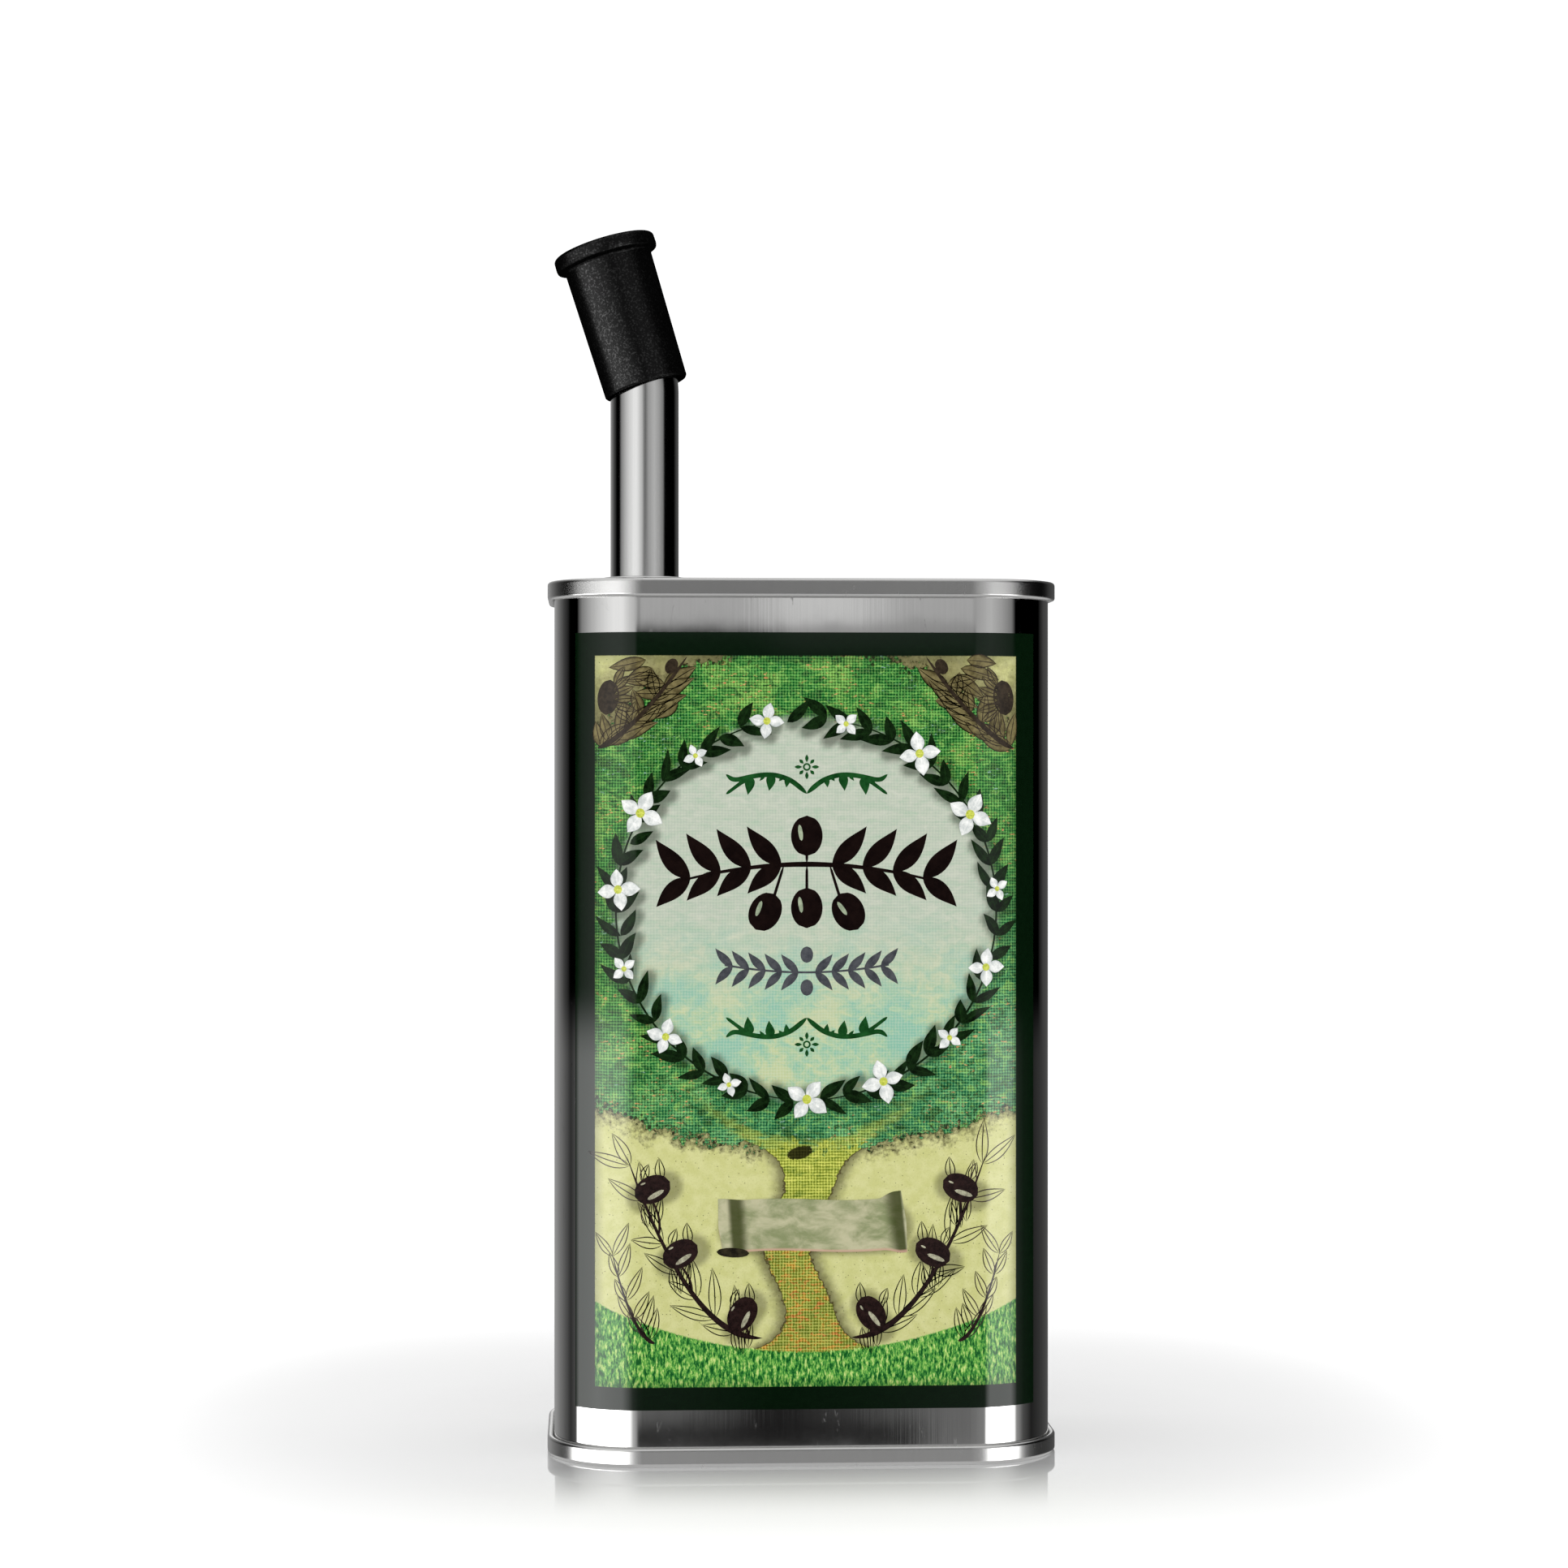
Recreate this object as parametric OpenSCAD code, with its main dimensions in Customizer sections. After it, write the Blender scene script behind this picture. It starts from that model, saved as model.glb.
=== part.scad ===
// A tinplate oil can with a printed front, and a swivelling pouring spout in a push-in stopper.
// Origin at the centre of the base, +X across the front, -Y out of the front, +Z up. Millimetres.

/* [Can] */
// Width of the can body over its outer faces
body_w = 80; // [70:1:100]
// Depth of the can body over its outer faces
body_d = 48; // [44:1:60]
// Outer radius of the can body's upright corners
corner_r = 14; // [12:0.5:16]
// Height of the can over both rims
can_h = 140.4; // [110:0.1:170]
// Thickness of the tinplate
sheet_t = 0.25; // [0.22:0.01:0.26]

/* [Rims] */
// Height of each double seam
seam_h = 3; // [2.8:0.1:3.4]
// How far each double seam stands out from the body
seam_out = 1.1; // [1.1:0.05:1.3]
// Depth of the top panel below the top rim
top_recess = 4; // [3.6:0.1:5]
// Height of the bottom panel above the base
bottom_recess = 3.8; // [3.6:0.1:5]
// Height of the step pressed into the bottom panel
panel_step = 0.6; // [0.4:0.1:0.8]

/* [Label] */
// Half of the label's width, measured along the body's surface from the centre line
label_half_u = 37.85; // [30:0.05:39]
// Height of the label's lower edge
label_low = 8.9; // [6:0.1:12]
// Height of the label's upper edge
label_top = 131.8; // [100:0.1:132]
// Thickness of the label
label_t = 0.12; // [0.08:0.01:0.2]

/* [Spout] */
// Distance of the spout's axis from the centre of the can, towards -X
spout_offset = 25.3; // [20:0.1:26]
// Outer diameter of the spout tube
tube_od = 11.2; // [11:0.1:11.4]
// Wall of the spout tube
tube_wall = 0.6; // [0.5:0.05:0.7]
// Height at which the straight lines of the bent spout meet
bend_z = 173.9; // [165:0.1:185]
// Angle between the two straight lengths of the spout
bend_angle = 17.25; // [12:0.25:25]
// Centre-line radius of the bend
bend_r = 14; // [12:0.5:16]
// Length of the spout past the bend point
tip_length = 17; // [14:0.5:18]
// Turn of the spout's tip away from -X, towards +Y
spout_aim = 12; // [0:1:30]

/* [Cap] */
// Length of the cap
cap_length = 24.6; // [23:0.1:27]
// Outer diameter of the cap at its mouth
cap_mouth_od = 13.9; // [13.8:0.1:15]
// Outer diameter of the cap below its flange
cap_top_od = 14.6; // [14.2:0.1:16]
// Diameter of the cap's flange
cap_flange_od = 17.1; // [16:0.1:19]
// Thickness of the cap's flange
cap_flange_t = 2.4; // [2:0.1:3]

/* [Hidden] */

$fn = 64;
bend_steps = 4;                         // straight steps that draw one quarter or half bend of sheet
cut = 1;                                // how far a cutting shape runs past what it cuts

// Plan of the can
flat_w = body_w - 2 * corner_r;
flat_d = body_d - 2 * corner_r;

// Double seam: distances outward from the body's outer face, heights inward from the rim's outer face
chuck_s = -1.5 * sheet_t;               // middle of the end's inner wall
skirt_s = seam_out - sheet_t / 2;       // middle of the end's outer wall
fold_r = 0.475;                         // centre-line radius of the end's fold over the rim
curl_r = (skirt_s - 0.225) / 2;         // centre-line radius of the end's curl under the body hook
end_hook_s = skirt_s - 2 * curl_r;      // middle of the end's hook
end_hook_tip = 1;                       // height of that hook's free edge
body_wall_s = -sheet_t / 2;             // middle of the body's wall
body_fold_r = 0.35;                     // centre-line radius of the body's flange
body_hook_s = body_wall_s + 2 * body_fold_r;
body_fold_z = 0.3 + sheet_t / 2 + body_fold_r;
body_hook_tip = seam_h - 0.7;           // height of the body hook's free edge
panel_bend_r = 0.6;                     // centre-line radius between the panel and its wall
step_r = 0.8;                           // centre-line radius of the panel step's bends
step_s = -9;                            // where the panel step starts

// Side seam of the body
lap_w = 3;
lap_margin = 5;

// Neck and stopper, heights up from the top panel
panel_z = can_h - top_recess;
neck_r = 9.2;                           // inner radius of the neck
neck_curl_r = 0.55;                     // radius of the rolled bead round the neck
neck_lip_z = panel_z + 2.15;
seat_gap = 0.05;                        // play between pieces that move against each other
bung_z = neck_lip_z + seat_gap;
bung_flange_r = 11;
bung_flange_t = 0.8;
bung_length = 12.6;                     // from under the bung's flange to its lower end
bung_r = 8.5;
rib_r = neck_r - 0.1;
rib_count = 4;
rib_pitch = 2.6;
core_r = 7.3;                           // radius of the collar's spigot, inside the bung
collar_z = bung_z + bung_flange_t;
collar_flange_r = 11.5;
collar_flange_t = 1.4;
collar_round = 0.5;
barb_r = 7.8;                           // radius of the spigot's lower lip, which holds the bung
barb_t = 0.6;
core_low_z = bung_z - bung_length - barb_t;

// Spout
tube_r = tube_od / 2;
bore_r = tube_r - tube_wall;
running_gap = 0.05;
tube_low_z = core_low_z - 3.4;
tangent_length = bend_r * tan(bend_angle / 2);
bend_swell = 0.02;                      // how much fuller the bend is than the straight tube
bend_lap = 0.2;                         // how far the straight lengths run into the bend
o_ring_r = 0.55;
o_ring_z = bung_z - bung_length / 2;
stop_ring_r = 7.2;
stop_ring_t = 0.8;
retaining_ring_r = 7;
retaining_ring_t = 1;

// Air tube, brazed to the wall of the spout's bore
air_tube_r = 1.5;
air_tube_bore_r = 1.1;
braze = 0.02;                           // how deep the brazed line joins the two tubes
air_tube_x = bore_r - air_tube_r + braze;
air_tube_low_z = can_h * 0.68;
air_tube_tip = tip_length - 3;

// Cap, lengths measured from the bend point along the tip's axis
cap_back = 1.1;                         // how far the cap's mouth reaches back past the bend point
cap_relief_r = 6.25;                    // wider mouth of the cap's bore, round the bend
cap_relief_length = 4;
cap_bore_end = tip_length + 1.3;
cap_round = 0.5;
liner_t = 1;

// Points along a bend of sheet; each holds x, y and the direction of its right-hand normal
function bend(cx, cy, r, from, to) = [
    for (i = [0 : bend_steps])
        let (a = from + (to - from) * i / bend_steps)
            [cx + r * cos(a), cy + r * sin(a), to > from ? a : a + 180]
];

// Outline of a sheet of even thickness that follows a path of such points
function sheet_outline(path) = concat(
    [for (p = path) [p.x + sheet_t / 2 * cos(p.z), p.y + sheet_t / 2 * sin(p.z)]],
    [for (i = [len(path) - 1 : -1 : 0])
        let (p = path[i]) [p.x - sheet_t / 2 * cos(p.z), p.y - sheet_t / 2 * sin(p.z)]]
);

// The end's sheet from its panel wall to the free edge of its hook
function seam_path(panel_y) = concat(
    bend(chuck_s - panel_bend_r, panel_y - panel_bend_r, panel_bend_r, 90, 0),
    bend(chuck_s + fold_r, sheet_t / 2 + fold_r, fold_r, 180, 270),
    bend(skirt_s - fold_r, sheet_t / 2 + fold_r, fold_r, 270, 360),
    bend(skirt_s - curl_r, seam_h - curl_r - sheet_t / 2, curl_r, 0, 180),
    [[end_hook_s, end_hook_tip, 180]]
);

// The step between the inner and the outer part of the bottom panel
function step_path(low_y) =
    let (run = panel_step + 2 * step_r * (sqrt(2) - 1))
        concat(
            bend(step_s, low_y + step_r, step_r, 270, 315),
            bend(step_s + run, low_y + panel_step - step_r, step_r, 135, 90)
        );

// Carries a profile once round the can. The profile's x is the distance outward from the body's face.
module sweep_round() {
    for (turn = [0 : 3]) {
        run = turn % 2 == 0 ? flat_w : flat_d;
        reach = turn % 2 == 0 ? flat_d / 2 : flat_w / 2;
        rotate(90 * turn) {
            translate([-run / 2, reach + corner_r, 0])
                rotate([90, 0, 90])
                    linear_extrude(run)
                        children();
            translate([run / 2, reach, 0])
                rotate_extrude(angle = 90)
                    translate([corner_r, 0])
                        children();
        }
    }
}

// The flat middle of a panel, inside the four corner centres
module panel_middle(z) {
    translate([-flat_w / 2, -flat_d / 2, z])
        cube([flat_w, flat_d, sheet_t]);
}

// Turns a shape over so that it closes the top of the can
module at_top() {
    translate([0, 0, can_h])
        mirror([0, 0, 1])
            children();
}

// Moves a shape from the origin to the upright part of the spout's axis
module at_spout() {
    translate([-spout_offset, 0, 0])
        rotate(-spout_aim)
            children();
}

// Moves a shape from the origin to the bend point, with +Z along the tip
module at_tip() {
    at_spout()
        translate([0, 0, bend_z])
            rotate([0, -bend_angle, 0])
                children();
}

// A round bar of radius r that follows the spout at a distance x from its axis
module along_spout(r, x, low_z, tip) {
    start_z = bend_z - tangent_length;
    at_spout() {
        translate([x, 0, low_z])
            cylinder(h = start_z + bend_lap - low_z, r = r);
        translate([-bend_r, 0, start_z])
            rotate([90, 0, 0])
                rotate_extrude(angle = bend_angle)
                    translate([bend_r + x, 0])
                        circle(r + bend_swell);
    }
    at_tip()
        translate([x, 0, tangent_length - bend_lap])
            cylinder(h = tip - tangent_length + bend_lap, r = r);
}

// A flat ring round the spout's axis
module ring(r_in, r_out, z, t) {
    at_spout()
        translate([0, 0, z])
            difference() {
                cylinder(h = t, r = r_out);
                translate([0, 0, -cut])
                    cylinder(h = t + 2 * cut, r = r_in);
            }
}

// The ring of lining compound between the body hook and the end's outer wall
module seal_ring() {
    hook_face = body_hook_s + sheet_t / 2;
    sweep_round()
        translate([hook_face, body_fold_z])
            square([seam_out - sheet_t - hook_face, body_hook_tip - body_fold_z]);
}

module can_body() {
    path = concat(
        [[body_hook_s, body_hook_tip, 180]],
        bend(body_wall_s + body_fold_r, body_fold_z, body_fold_r, 0, -180),
        bend(body_wall_s + body_fold_r, can_h - body_fold_z, body_fold_r, 180, 0),
        [[body_hook_s, can_h - body_hook_tip, 180]]
    );
    color("silver") {
        sweep_round()
            polygon(sheet_outline(path));
        // The lap of the side seam, inside the back
        translate([-lap_w / 2, body_d / 2 - 2 * sheet_t, lap_margin])
            cube([lap_w, sheet_t, can_h - 2 * lap_margin]);
    }
}

module top_end() {
    panel_y = top_recess + sheet_t / 2;
    color("gainsboro") {
        at_top()
            difference() {
                union() {
                    sweep_round()
                        polygon(sheet_outline(concat([[-corner_r, panel_y, 270]], seam_path(panel_y))));
                    panel_middle(top_recess);
                }
                translate([-spout_offset, 0, top_recess - cut])
                    cylinder(h = sheet_t + 2 * cut, r = neck_r + sheet_t / 2);
            }
        // The neck, drawn up from the panel and rolled outward at its lip
        at_spout()
            rotate_extrude()
                union() {
                    translate([neck_r, panel_z - sheet_t])
                        square([sheet_t, neck_lip_z - neck_curl_r - panel_z + sheet_t]);
                    translate([neck_r + neck_curl_r, neck_lip_z - neck_curl_r])
                        circle(neck_curl_r);
                }
    }
}

module bottom_end() {
    low_y = bottom_recess - panel_step - sheet_t / 2;
    path = concat([[-corner_r, low_y, 270]], step_path(low_y), seam_path(low_y + panel_step));
    color("gainsboro") {
        sweep_round()
            polygon(sheet_outline(path));
        panel_middle(low_y - sheet_t / 2);
    }
}

module top_seam_seal() {
    color("dimgray")
        at_top()
            seal_ring();
}

module bottom_seam_seal() {
    color("dimgray")
        seal_ring();
}

module front_label() {
    height = label_top - label_low;
    corner_turn = (label_half_u - flat_w / 2) / corner_r * 180 / PI;
    color("darkgreen") {
        translate([-flat_w / 2, -body_d / 2 - label_t, label_low])
            cube([flat_w, label_t, height]);
        for (side = [0, 1])
            mirror([side, 0, 0])
                translate([flat_w / 2, -flat_d / 2, label_low])
                    rotate(-90)
                        rotate_extrude(angle = corner_turn)
                            translate([corner_r, 0])
                                square([label_t, height]);
    }
}

module pourer_collar() {
    groove_h = 2 * o_ring_r + 0.1;
    color("#1c1c1e")
        at_spout()
            difference() {
                union() {
                    translate([0, 0, collar_z])
                        cylinder(h = collar_flange_t - collar_round, r = collar_flange_r);
                    translate([0, 0, collar_z + collar_flange_t - collar_round])
                        cylinder(h = collar_round, r1 = collar_flange_r, r2 = collar_flange_r - collar_round);
                    translate([0, 0, core_low_z])
                        cylinder(h = collar_z - core_low_z + cut / 2, r = core_r);
                    translate([0, 0, core_low_z])
                        cylinder(h = barb_t, r1 = core_r, r2 = barb_r);
                }
                translate([0, 0, core_low_z - cut])
                    cylinder(h = collar_z + collar_flange_t - core_low_z + 2 * cut, r = tube_r + running_gap);
                translate([0, 0, o_ring_z - groove_h / 2])
                    cylinder(h = groove_h, r = tube_r + running_gap + 2 * o_ring_r);
            }
}

module ribbed_bung() {
    low_z = bung_z - bung_length;
    // Saw-tooth ribs, each widest at its upper edge
    ribs = [
        for (i = [0 : rib_count - 1])
            for (p = [[bung_r, i * rib_pitch], [rib_r, (i + 0.8) * rib_pitch], [bung_r, (i + 0.9) * rib_pitch]])
                [p.x, low_z + p.y]
    ];
    outline = concat(
        [[core_r, low_z]],
        ribs,
        [
            [bung_r, bung_z],
            [bung_flange_r, bung_z],
            [bung_flange_r, bung_z + bung_flange_t],
            [core_r, bung_z + bung_flange_t]
        ]
    );
    color("#262628")
        at_spout()
            rotate_extrude()
                polygon(outline);
}

module spout_o_ring() {
    color("#3a3a3c")
        at_spout()
            translate([0, 0, o_ring_z])
                rotate_extrude()
                    translate([tube_r + running_gap + o_ring_r, 0])
                        circle(o_ring_r);
}

module spout_tube() {
    color("lightgray")
        difference() {
            along_spout(tube_r, 0, tube_low_z, tip_length);
            along_spout(bore_r, 0, tube_low_z - cut, tip_length + cut);
        }
}

module air_tube() {
    color("gray")
        difference() {
            along_spout(air_tube_r, air_tube_x, air_tube_low_z, air_tube_tip);
            along_spout(air_tube_bore_r, air_tube_x, air_tube_low_z - cut, air_tube_tip + cut);
        }
}

module stop_ring() {
    color("lightgray")
        ring(tube_r, stop_ring_r, collar_z + collar_flange_t + seat_gap, stop_ring_t);
}

module retaining_ring() {
    color("gray")
        ring(tube_r, retaining_ring_r, core_low_z - 2 * seat_gap - retaining_ring_t, retaining_ring_t);
}

module spout_cap() {
    top = cap_length - cap_back;
    flange_low = top - cap_flange_t;
    outline = [
        [0, -cap_back],
        [cap_mouth_od / 2 - cap_round, -cap_back],
        [cap_mouth_od / 2, cap_round - cap_back],
        [cap_top_od / 2, flange_low - cap_round],
        [cap_top_od / 2 + cap_round, flange_low],
        [cap_flange_od / 2 - cap_round / 2, flange_low],
        [cap_flange_od / 2, flange_low + cap_round],
        [cap_flange_od / 2, top - cap_round],
        [cap_flange_od / 2 - cap_round, top],
        [0, top]
    ];
    color("#161616")
        at_tip()
            difference() {
                rotate_extrude()
                    polygon(outline);
                translate([0, 0, -cap_back - cut])
                    cylinder(h = cap_relief_length + cut, r = cap_relief_r);
                cylinder(h = cap_bore_end, r = tube_r + running_gap);
            }
}

module cap_liner() {
    color("whitesmoke")
        at_tip()
            translate([0, 0, cap_bore_end - liner_t])
                cylinder(h = liner_t, r = tube_r + running_gap);
}

can_body();
top_end();
bottom_end();
top_seam_seal();
bottom_seam_seal();
front_label();
pourer_collar();
ribbed_bung();
spout_o_ring();
spout_tube();
air_tube();
stop_ring();
retaining_ring();
spout_cap();
cap_liner();
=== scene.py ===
import math

import bpy
import numpy as np
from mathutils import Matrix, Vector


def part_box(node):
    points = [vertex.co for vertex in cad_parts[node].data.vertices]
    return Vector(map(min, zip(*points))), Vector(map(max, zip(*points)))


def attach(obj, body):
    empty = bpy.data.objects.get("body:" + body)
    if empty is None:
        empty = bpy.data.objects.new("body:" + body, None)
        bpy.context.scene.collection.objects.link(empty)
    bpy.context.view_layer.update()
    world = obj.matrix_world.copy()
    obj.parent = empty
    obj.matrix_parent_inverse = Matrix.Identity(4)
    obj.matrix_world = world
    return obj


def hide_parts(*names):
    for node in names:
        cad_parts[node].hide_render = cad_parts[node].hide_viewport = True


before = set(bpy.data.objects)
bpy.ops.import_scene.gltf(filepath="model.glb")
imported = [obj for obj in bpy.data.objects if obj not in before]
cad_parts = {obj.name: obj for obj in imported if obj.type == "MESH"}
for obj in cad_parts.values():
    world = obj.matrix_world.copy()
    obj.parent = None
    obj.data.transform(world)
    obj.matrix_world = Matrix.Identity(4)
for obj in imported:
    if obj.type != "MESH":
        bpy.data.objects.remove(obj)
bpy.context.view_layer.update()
print("frame loaded with", len(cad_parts), "CAD nodes")

mm = 0.001
luck = np.random.default_rng(7)

# The can's plan, in millimetres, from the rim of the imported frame
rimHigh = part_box("bottom_end")[1]
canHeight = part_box("top_end")[1].z / mm
labelLow, labelHigh = (corner.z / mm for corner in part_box("front_label"))
can = {
    "seamOut": 1.1,
    "seamHeight": 3.0,
    "cornerRadius": 14.0,
    "sheet": 0.25,
    "topRecess": 4.0,
    "bottomRecess": 3.8,
}
can["halfWidth"] = rimHigh.x / mm - can["seamOut"]
can["halfDepth"] = rimHigh.y / mm - can["seamOut"]
can["flatX"] = can["halfWidth"] - can["cornerRadius"]
can["flatY"] = can["halfDepth"] - can["cornerRadius"]

# The spout's axis, in millimetres and degrees
spout = {
    "x": -25.3,
    "aim": -12.0,
    "low": 122.0,
    "bendZ": 173.9,
    "bend": 17.25,
    "bendRadius": 14.0,
    "tip": 17.0,
}


class Wire:
    # A socket in a material; sums on it add Math nodes
    def __init__(self, paint, socket):
        self.paint = paint
        self.socket = socket

    def __add__(self, other):
        return self.paint.maths("ADD", self, other)

    def __radd__(self, other):
        return self.paint.maths("ADD", other, self)

    def __sub__(self, other):
        return self.paint.maths("SUBTRACT", self, other)

    def __rsub__(self, other):
        return self.paint.maths("SUBTRACT", other, self)

    def __mul__(self, other):
        return self.paint.maths("MULTIPLY", self, other)

    def __rmul__(self, other):
        return self.paint.maths("MULTIPLY", other, self)

    def __truediv__(self, other):
        return self.paint.maths("DIVIDE", self, other)

    def __pow__(self, other):
        return self.paint.maths("POWER", self, other)


class Paint:
    # One material: its nodes, and the sockets of its one Principled shader
    def __init__(self, name, **fixed):
        self.material = bpy.data.materials.new(name)
        self.material.use_nodes = True
        self.tree = self.material.node_tree
        self.shader = self.tree.nodes["Principled BSDF"]
        for key, value in fixed.items():
            self.shader.inputs[socketNames[key]].default_value = value

    def node(self, kind, settings=None, inputs=None, output=0):
        made = self.tree.nodes.new("ShaderNode" + kind)
        for key, value in (settings or {}).items():
            if key == "stops":
                fillRamp(made.color_ramp, value)
            else:
                setattr(made, key, value)
        for key, value in (inputs or {}).items():
            self.join(value, made.inputs[key])
        return Wire(self, made.outputs[output])

    def join(self, value, socket):
        if isinstance(value, Wire):
            self.tree.links.new(value.socket, socket)
        else:
            socket.default_value = value

    def maths(self, operation, *values):
        return self.node("Math", {"operation": operation}, dict(enumerate(values)))

    def drive(self, **wires):
        for key, value in wires.items():
            self.join(value, self.shader.inputs[socketNames[key]])

    def absolute(self, value):
        return self.maths("ABSOLUTE", value)

    def most(self, first, second):
        return self.maths("MAXIMUM", first, second)

    def least(self, first, second):
        return self.maths("MINIMUM", first, second)

    def here(self):
        return self.node("TexCoord", output="Object")

    def printed(self):
        return self.node("UVMap", {"uv_map": "print"})

    def split(self, vector):
        # A vector's x, y and z, each as a wire
        parts = self.node("SeparateXYZ", inputs={0: vector}).socket.node.outputs
        return [Wire(self, part) for part in parts]

    def mapped(self, vector, scale, turn=(0, 0, 0)):
        return self.node("Mapping", inputs={"Vector": vector, "Scale": scale, "Rotation": turn})

    def tinted(self, value, tint=(1.0, 1.0, 1.0)):
        # A gray of a changing level, tinted
        return self.node("CombineColor", inputs={i: value * share for i, share in enumerate(tint)})

    def value(self, name):
        return self.node("Attribute", {"attribute_name": name}, output="Fac")

    def vector(self, x, y, z=0.0):
        return self.node("CombineXYZ", inputs={0: x, 1: y, 2: z})

    def noise(self, vector, scale, detail=3.0, rough=0.55, warp=0.0):
        sizes = {"Vector": vector, "Scale": scale, "Detail": detail, "Roughness": rough, "Distortion": warp}
        return self.node("TexNoise", inputs=sizes)

    def grain(self, scale, detail=3.0, rough=0.55, warp=0.0, turn=(0, 0, 0)):
        # Noise fixed to the piece, as fine as scale, which is one number or one along each axis
        scale = scale if isinstance(scale, tuple) else (scale, scale, scale)
        return self.noise(self.mapped(self.here(), scale, turn), 1.0, detail, rough, warp)

    def cells(self, vector, scale):
        return self.node("TexVoronoi", inputs={"Vector": vector, "Scale": scale})

    def smooth(self, value, low, high, start=0.0, end=1.0):
        limits = {"Value": value, "From Min": low, "From Max": high, "To Min": start, "To Max": end}
        return self.node("MapRange", {"interpolation_type": "SMOOTHSTEP"}, limits)

    def between(self, value, low, lowIn, highIn, high):
        # One from lowIn to highIn, nothing below low or above high
        return self.smooth(value, low, lowIn) * self.smooth(value, high, highIn)

    def mix(self, factor, first, second, way="MIX"):
        return self.node("Mix", {"data_type": "RGBA", "blend_type": way}, {0: factor, 6: first, 7: second}, 2)

    def ramp(self, factor, *stops):
        return self.node("ValToRGB", {"stops": stops}, {"Fac": factor})

    def bump(self, height, depth, strength=1.0):
        return self.node("Bump", inputs={"Height": height, "Distance": depth, "Strength": strength})


socketNames = {
    "color": "Base Color",
    "rough": "Roughness",
    "metal": "Metallic",
    "normal": "Normal",
    "coat": "Coat Weight",
    "coatRough": "Coat Roughness",
    "gloss": "Specular IOR Level",
    "glow": "Emission Color",
    "glowPower": "Emission Strength",
}


def fillRamp(ramp, stops):
    while len(ramp.elements) < len(stops):
        ramp.elements.new(0.5)
    for element, (position, color) in zip(ramp.elements, stops):
        element.position = position
        element.color = color


def shade(red, green, blue):
    # A colour given in the usual 0 to 255 steps, made linear by the screen's standard curve
    part = [c / 255 for c in (red, green, blue)]
    return tuple(c / 12.92 if c <= 0.04045 else ((c + 0.055) / 1.055) ** 2.4 for c in part) + (1.0,)


def gray(level):
    return (level, level, level, 1.0)


def buildMesh(name, patches):
    # Each patch is a grid of points with a normal at each. Quads join neighbours, a wrapped direction
    # closes on itself, and points that coincide, as at a pole, become one
    spots, normals, maps, faces, start = [], [], [], [], 0
    for patch in patches:
        points, outward = patch["points"], patch["normals"]
        rows, columns = points.shape[:2]
        r, c = np.meshgrid(
            np.arange(rows if patch.get("wrapRows") else rows - 1),
            np.arange(columns if patch.get("wrapColumns") else columns - 1),
            indexing="ij",
        )
        down, right = (r + 1) % rows, (c + 1) % columns
        corners = [r * columns + c, down * columns + c, down * columns + right, r * columns + right]
        quads = np.stack(corners, -1).reshape(-1, 4)
        flat, lean = points.reshape(-1, 3), outward.reshape(-1, 3)
        across = np.cross(flat[quads[:, 2]] - flat[quads[:, 0]], flat[quads[:, 3]] - flat[quads[:, 1]])
        if (across * lean[quads].mean(1)).sum() < 0:
            quads = quads[:, ::-1]
        spots.append(flat)
        normals.append(lean)
        maps.append(patch.get("map", np.zeros((rows, columns, 2))).reshape(-1, 2))
        faces.append(quads + start)
        start += len(flat)
    spots, normals, faces = np.concatenate(spots), np.concatenate(normals), np.concatenate(faces)
    unique, where = np.unique(np.round(spots, 8), axis=0, return_inverse=True)
    where = where.reshape(-1)
    merged = where[faces]
    keep = merged != np.roll(merged, 1, axis=1)
    whole = keep.sum(1) > 2
    merged, keep, faces = merged[whole], keep[whole], faces[whole]
    mesh = bpy.data.meshes.new(name)
    mesh.vertices.add(len(unique))
    mesh.vertices.foreach_set("co", unique.astype(np.float32).ravel())
    mesh.loops.add(int(keep.sum()))
    mesh.loops.foreach_set("vertex_index", merged[keep].astype(np.int32))
    mesh.polygons.add(len(merged))
    sizes = keep.sum(1)
    mesh.polygons.foreach_set("loop_start", np.concatenate([[0], np.cumsum(sizes)[:-1]]).astype(np.int32))
    mesh.update(calc_edges=True)
    mesh.shade_smooth()
    lengths = np.linalg.norm(normals, axis=1, keepdims=True)
    mesh.normals_split_custom_set((normals / np.maximum(lengths, 1e-9))[faces[keep]])
    if "map" in patches[0]:
        flatMap = mesh.uv_layers.new(name="print")
        flatMap.uv.foreach_set("vector", np.concatenate(maps)[faces[keep]].astype(np.float32).ravel())
    made = bpy.data.objects.new(name, mesh)
    bpy.context.scene.collection.objects.link(made)
    return made, where


def dress(piece, body, nodes, slotName, paint):
    piece.data.materials.append(paint.material)
    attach(piece, body)
    if nodes:
        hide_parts(*nodes)


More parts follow.
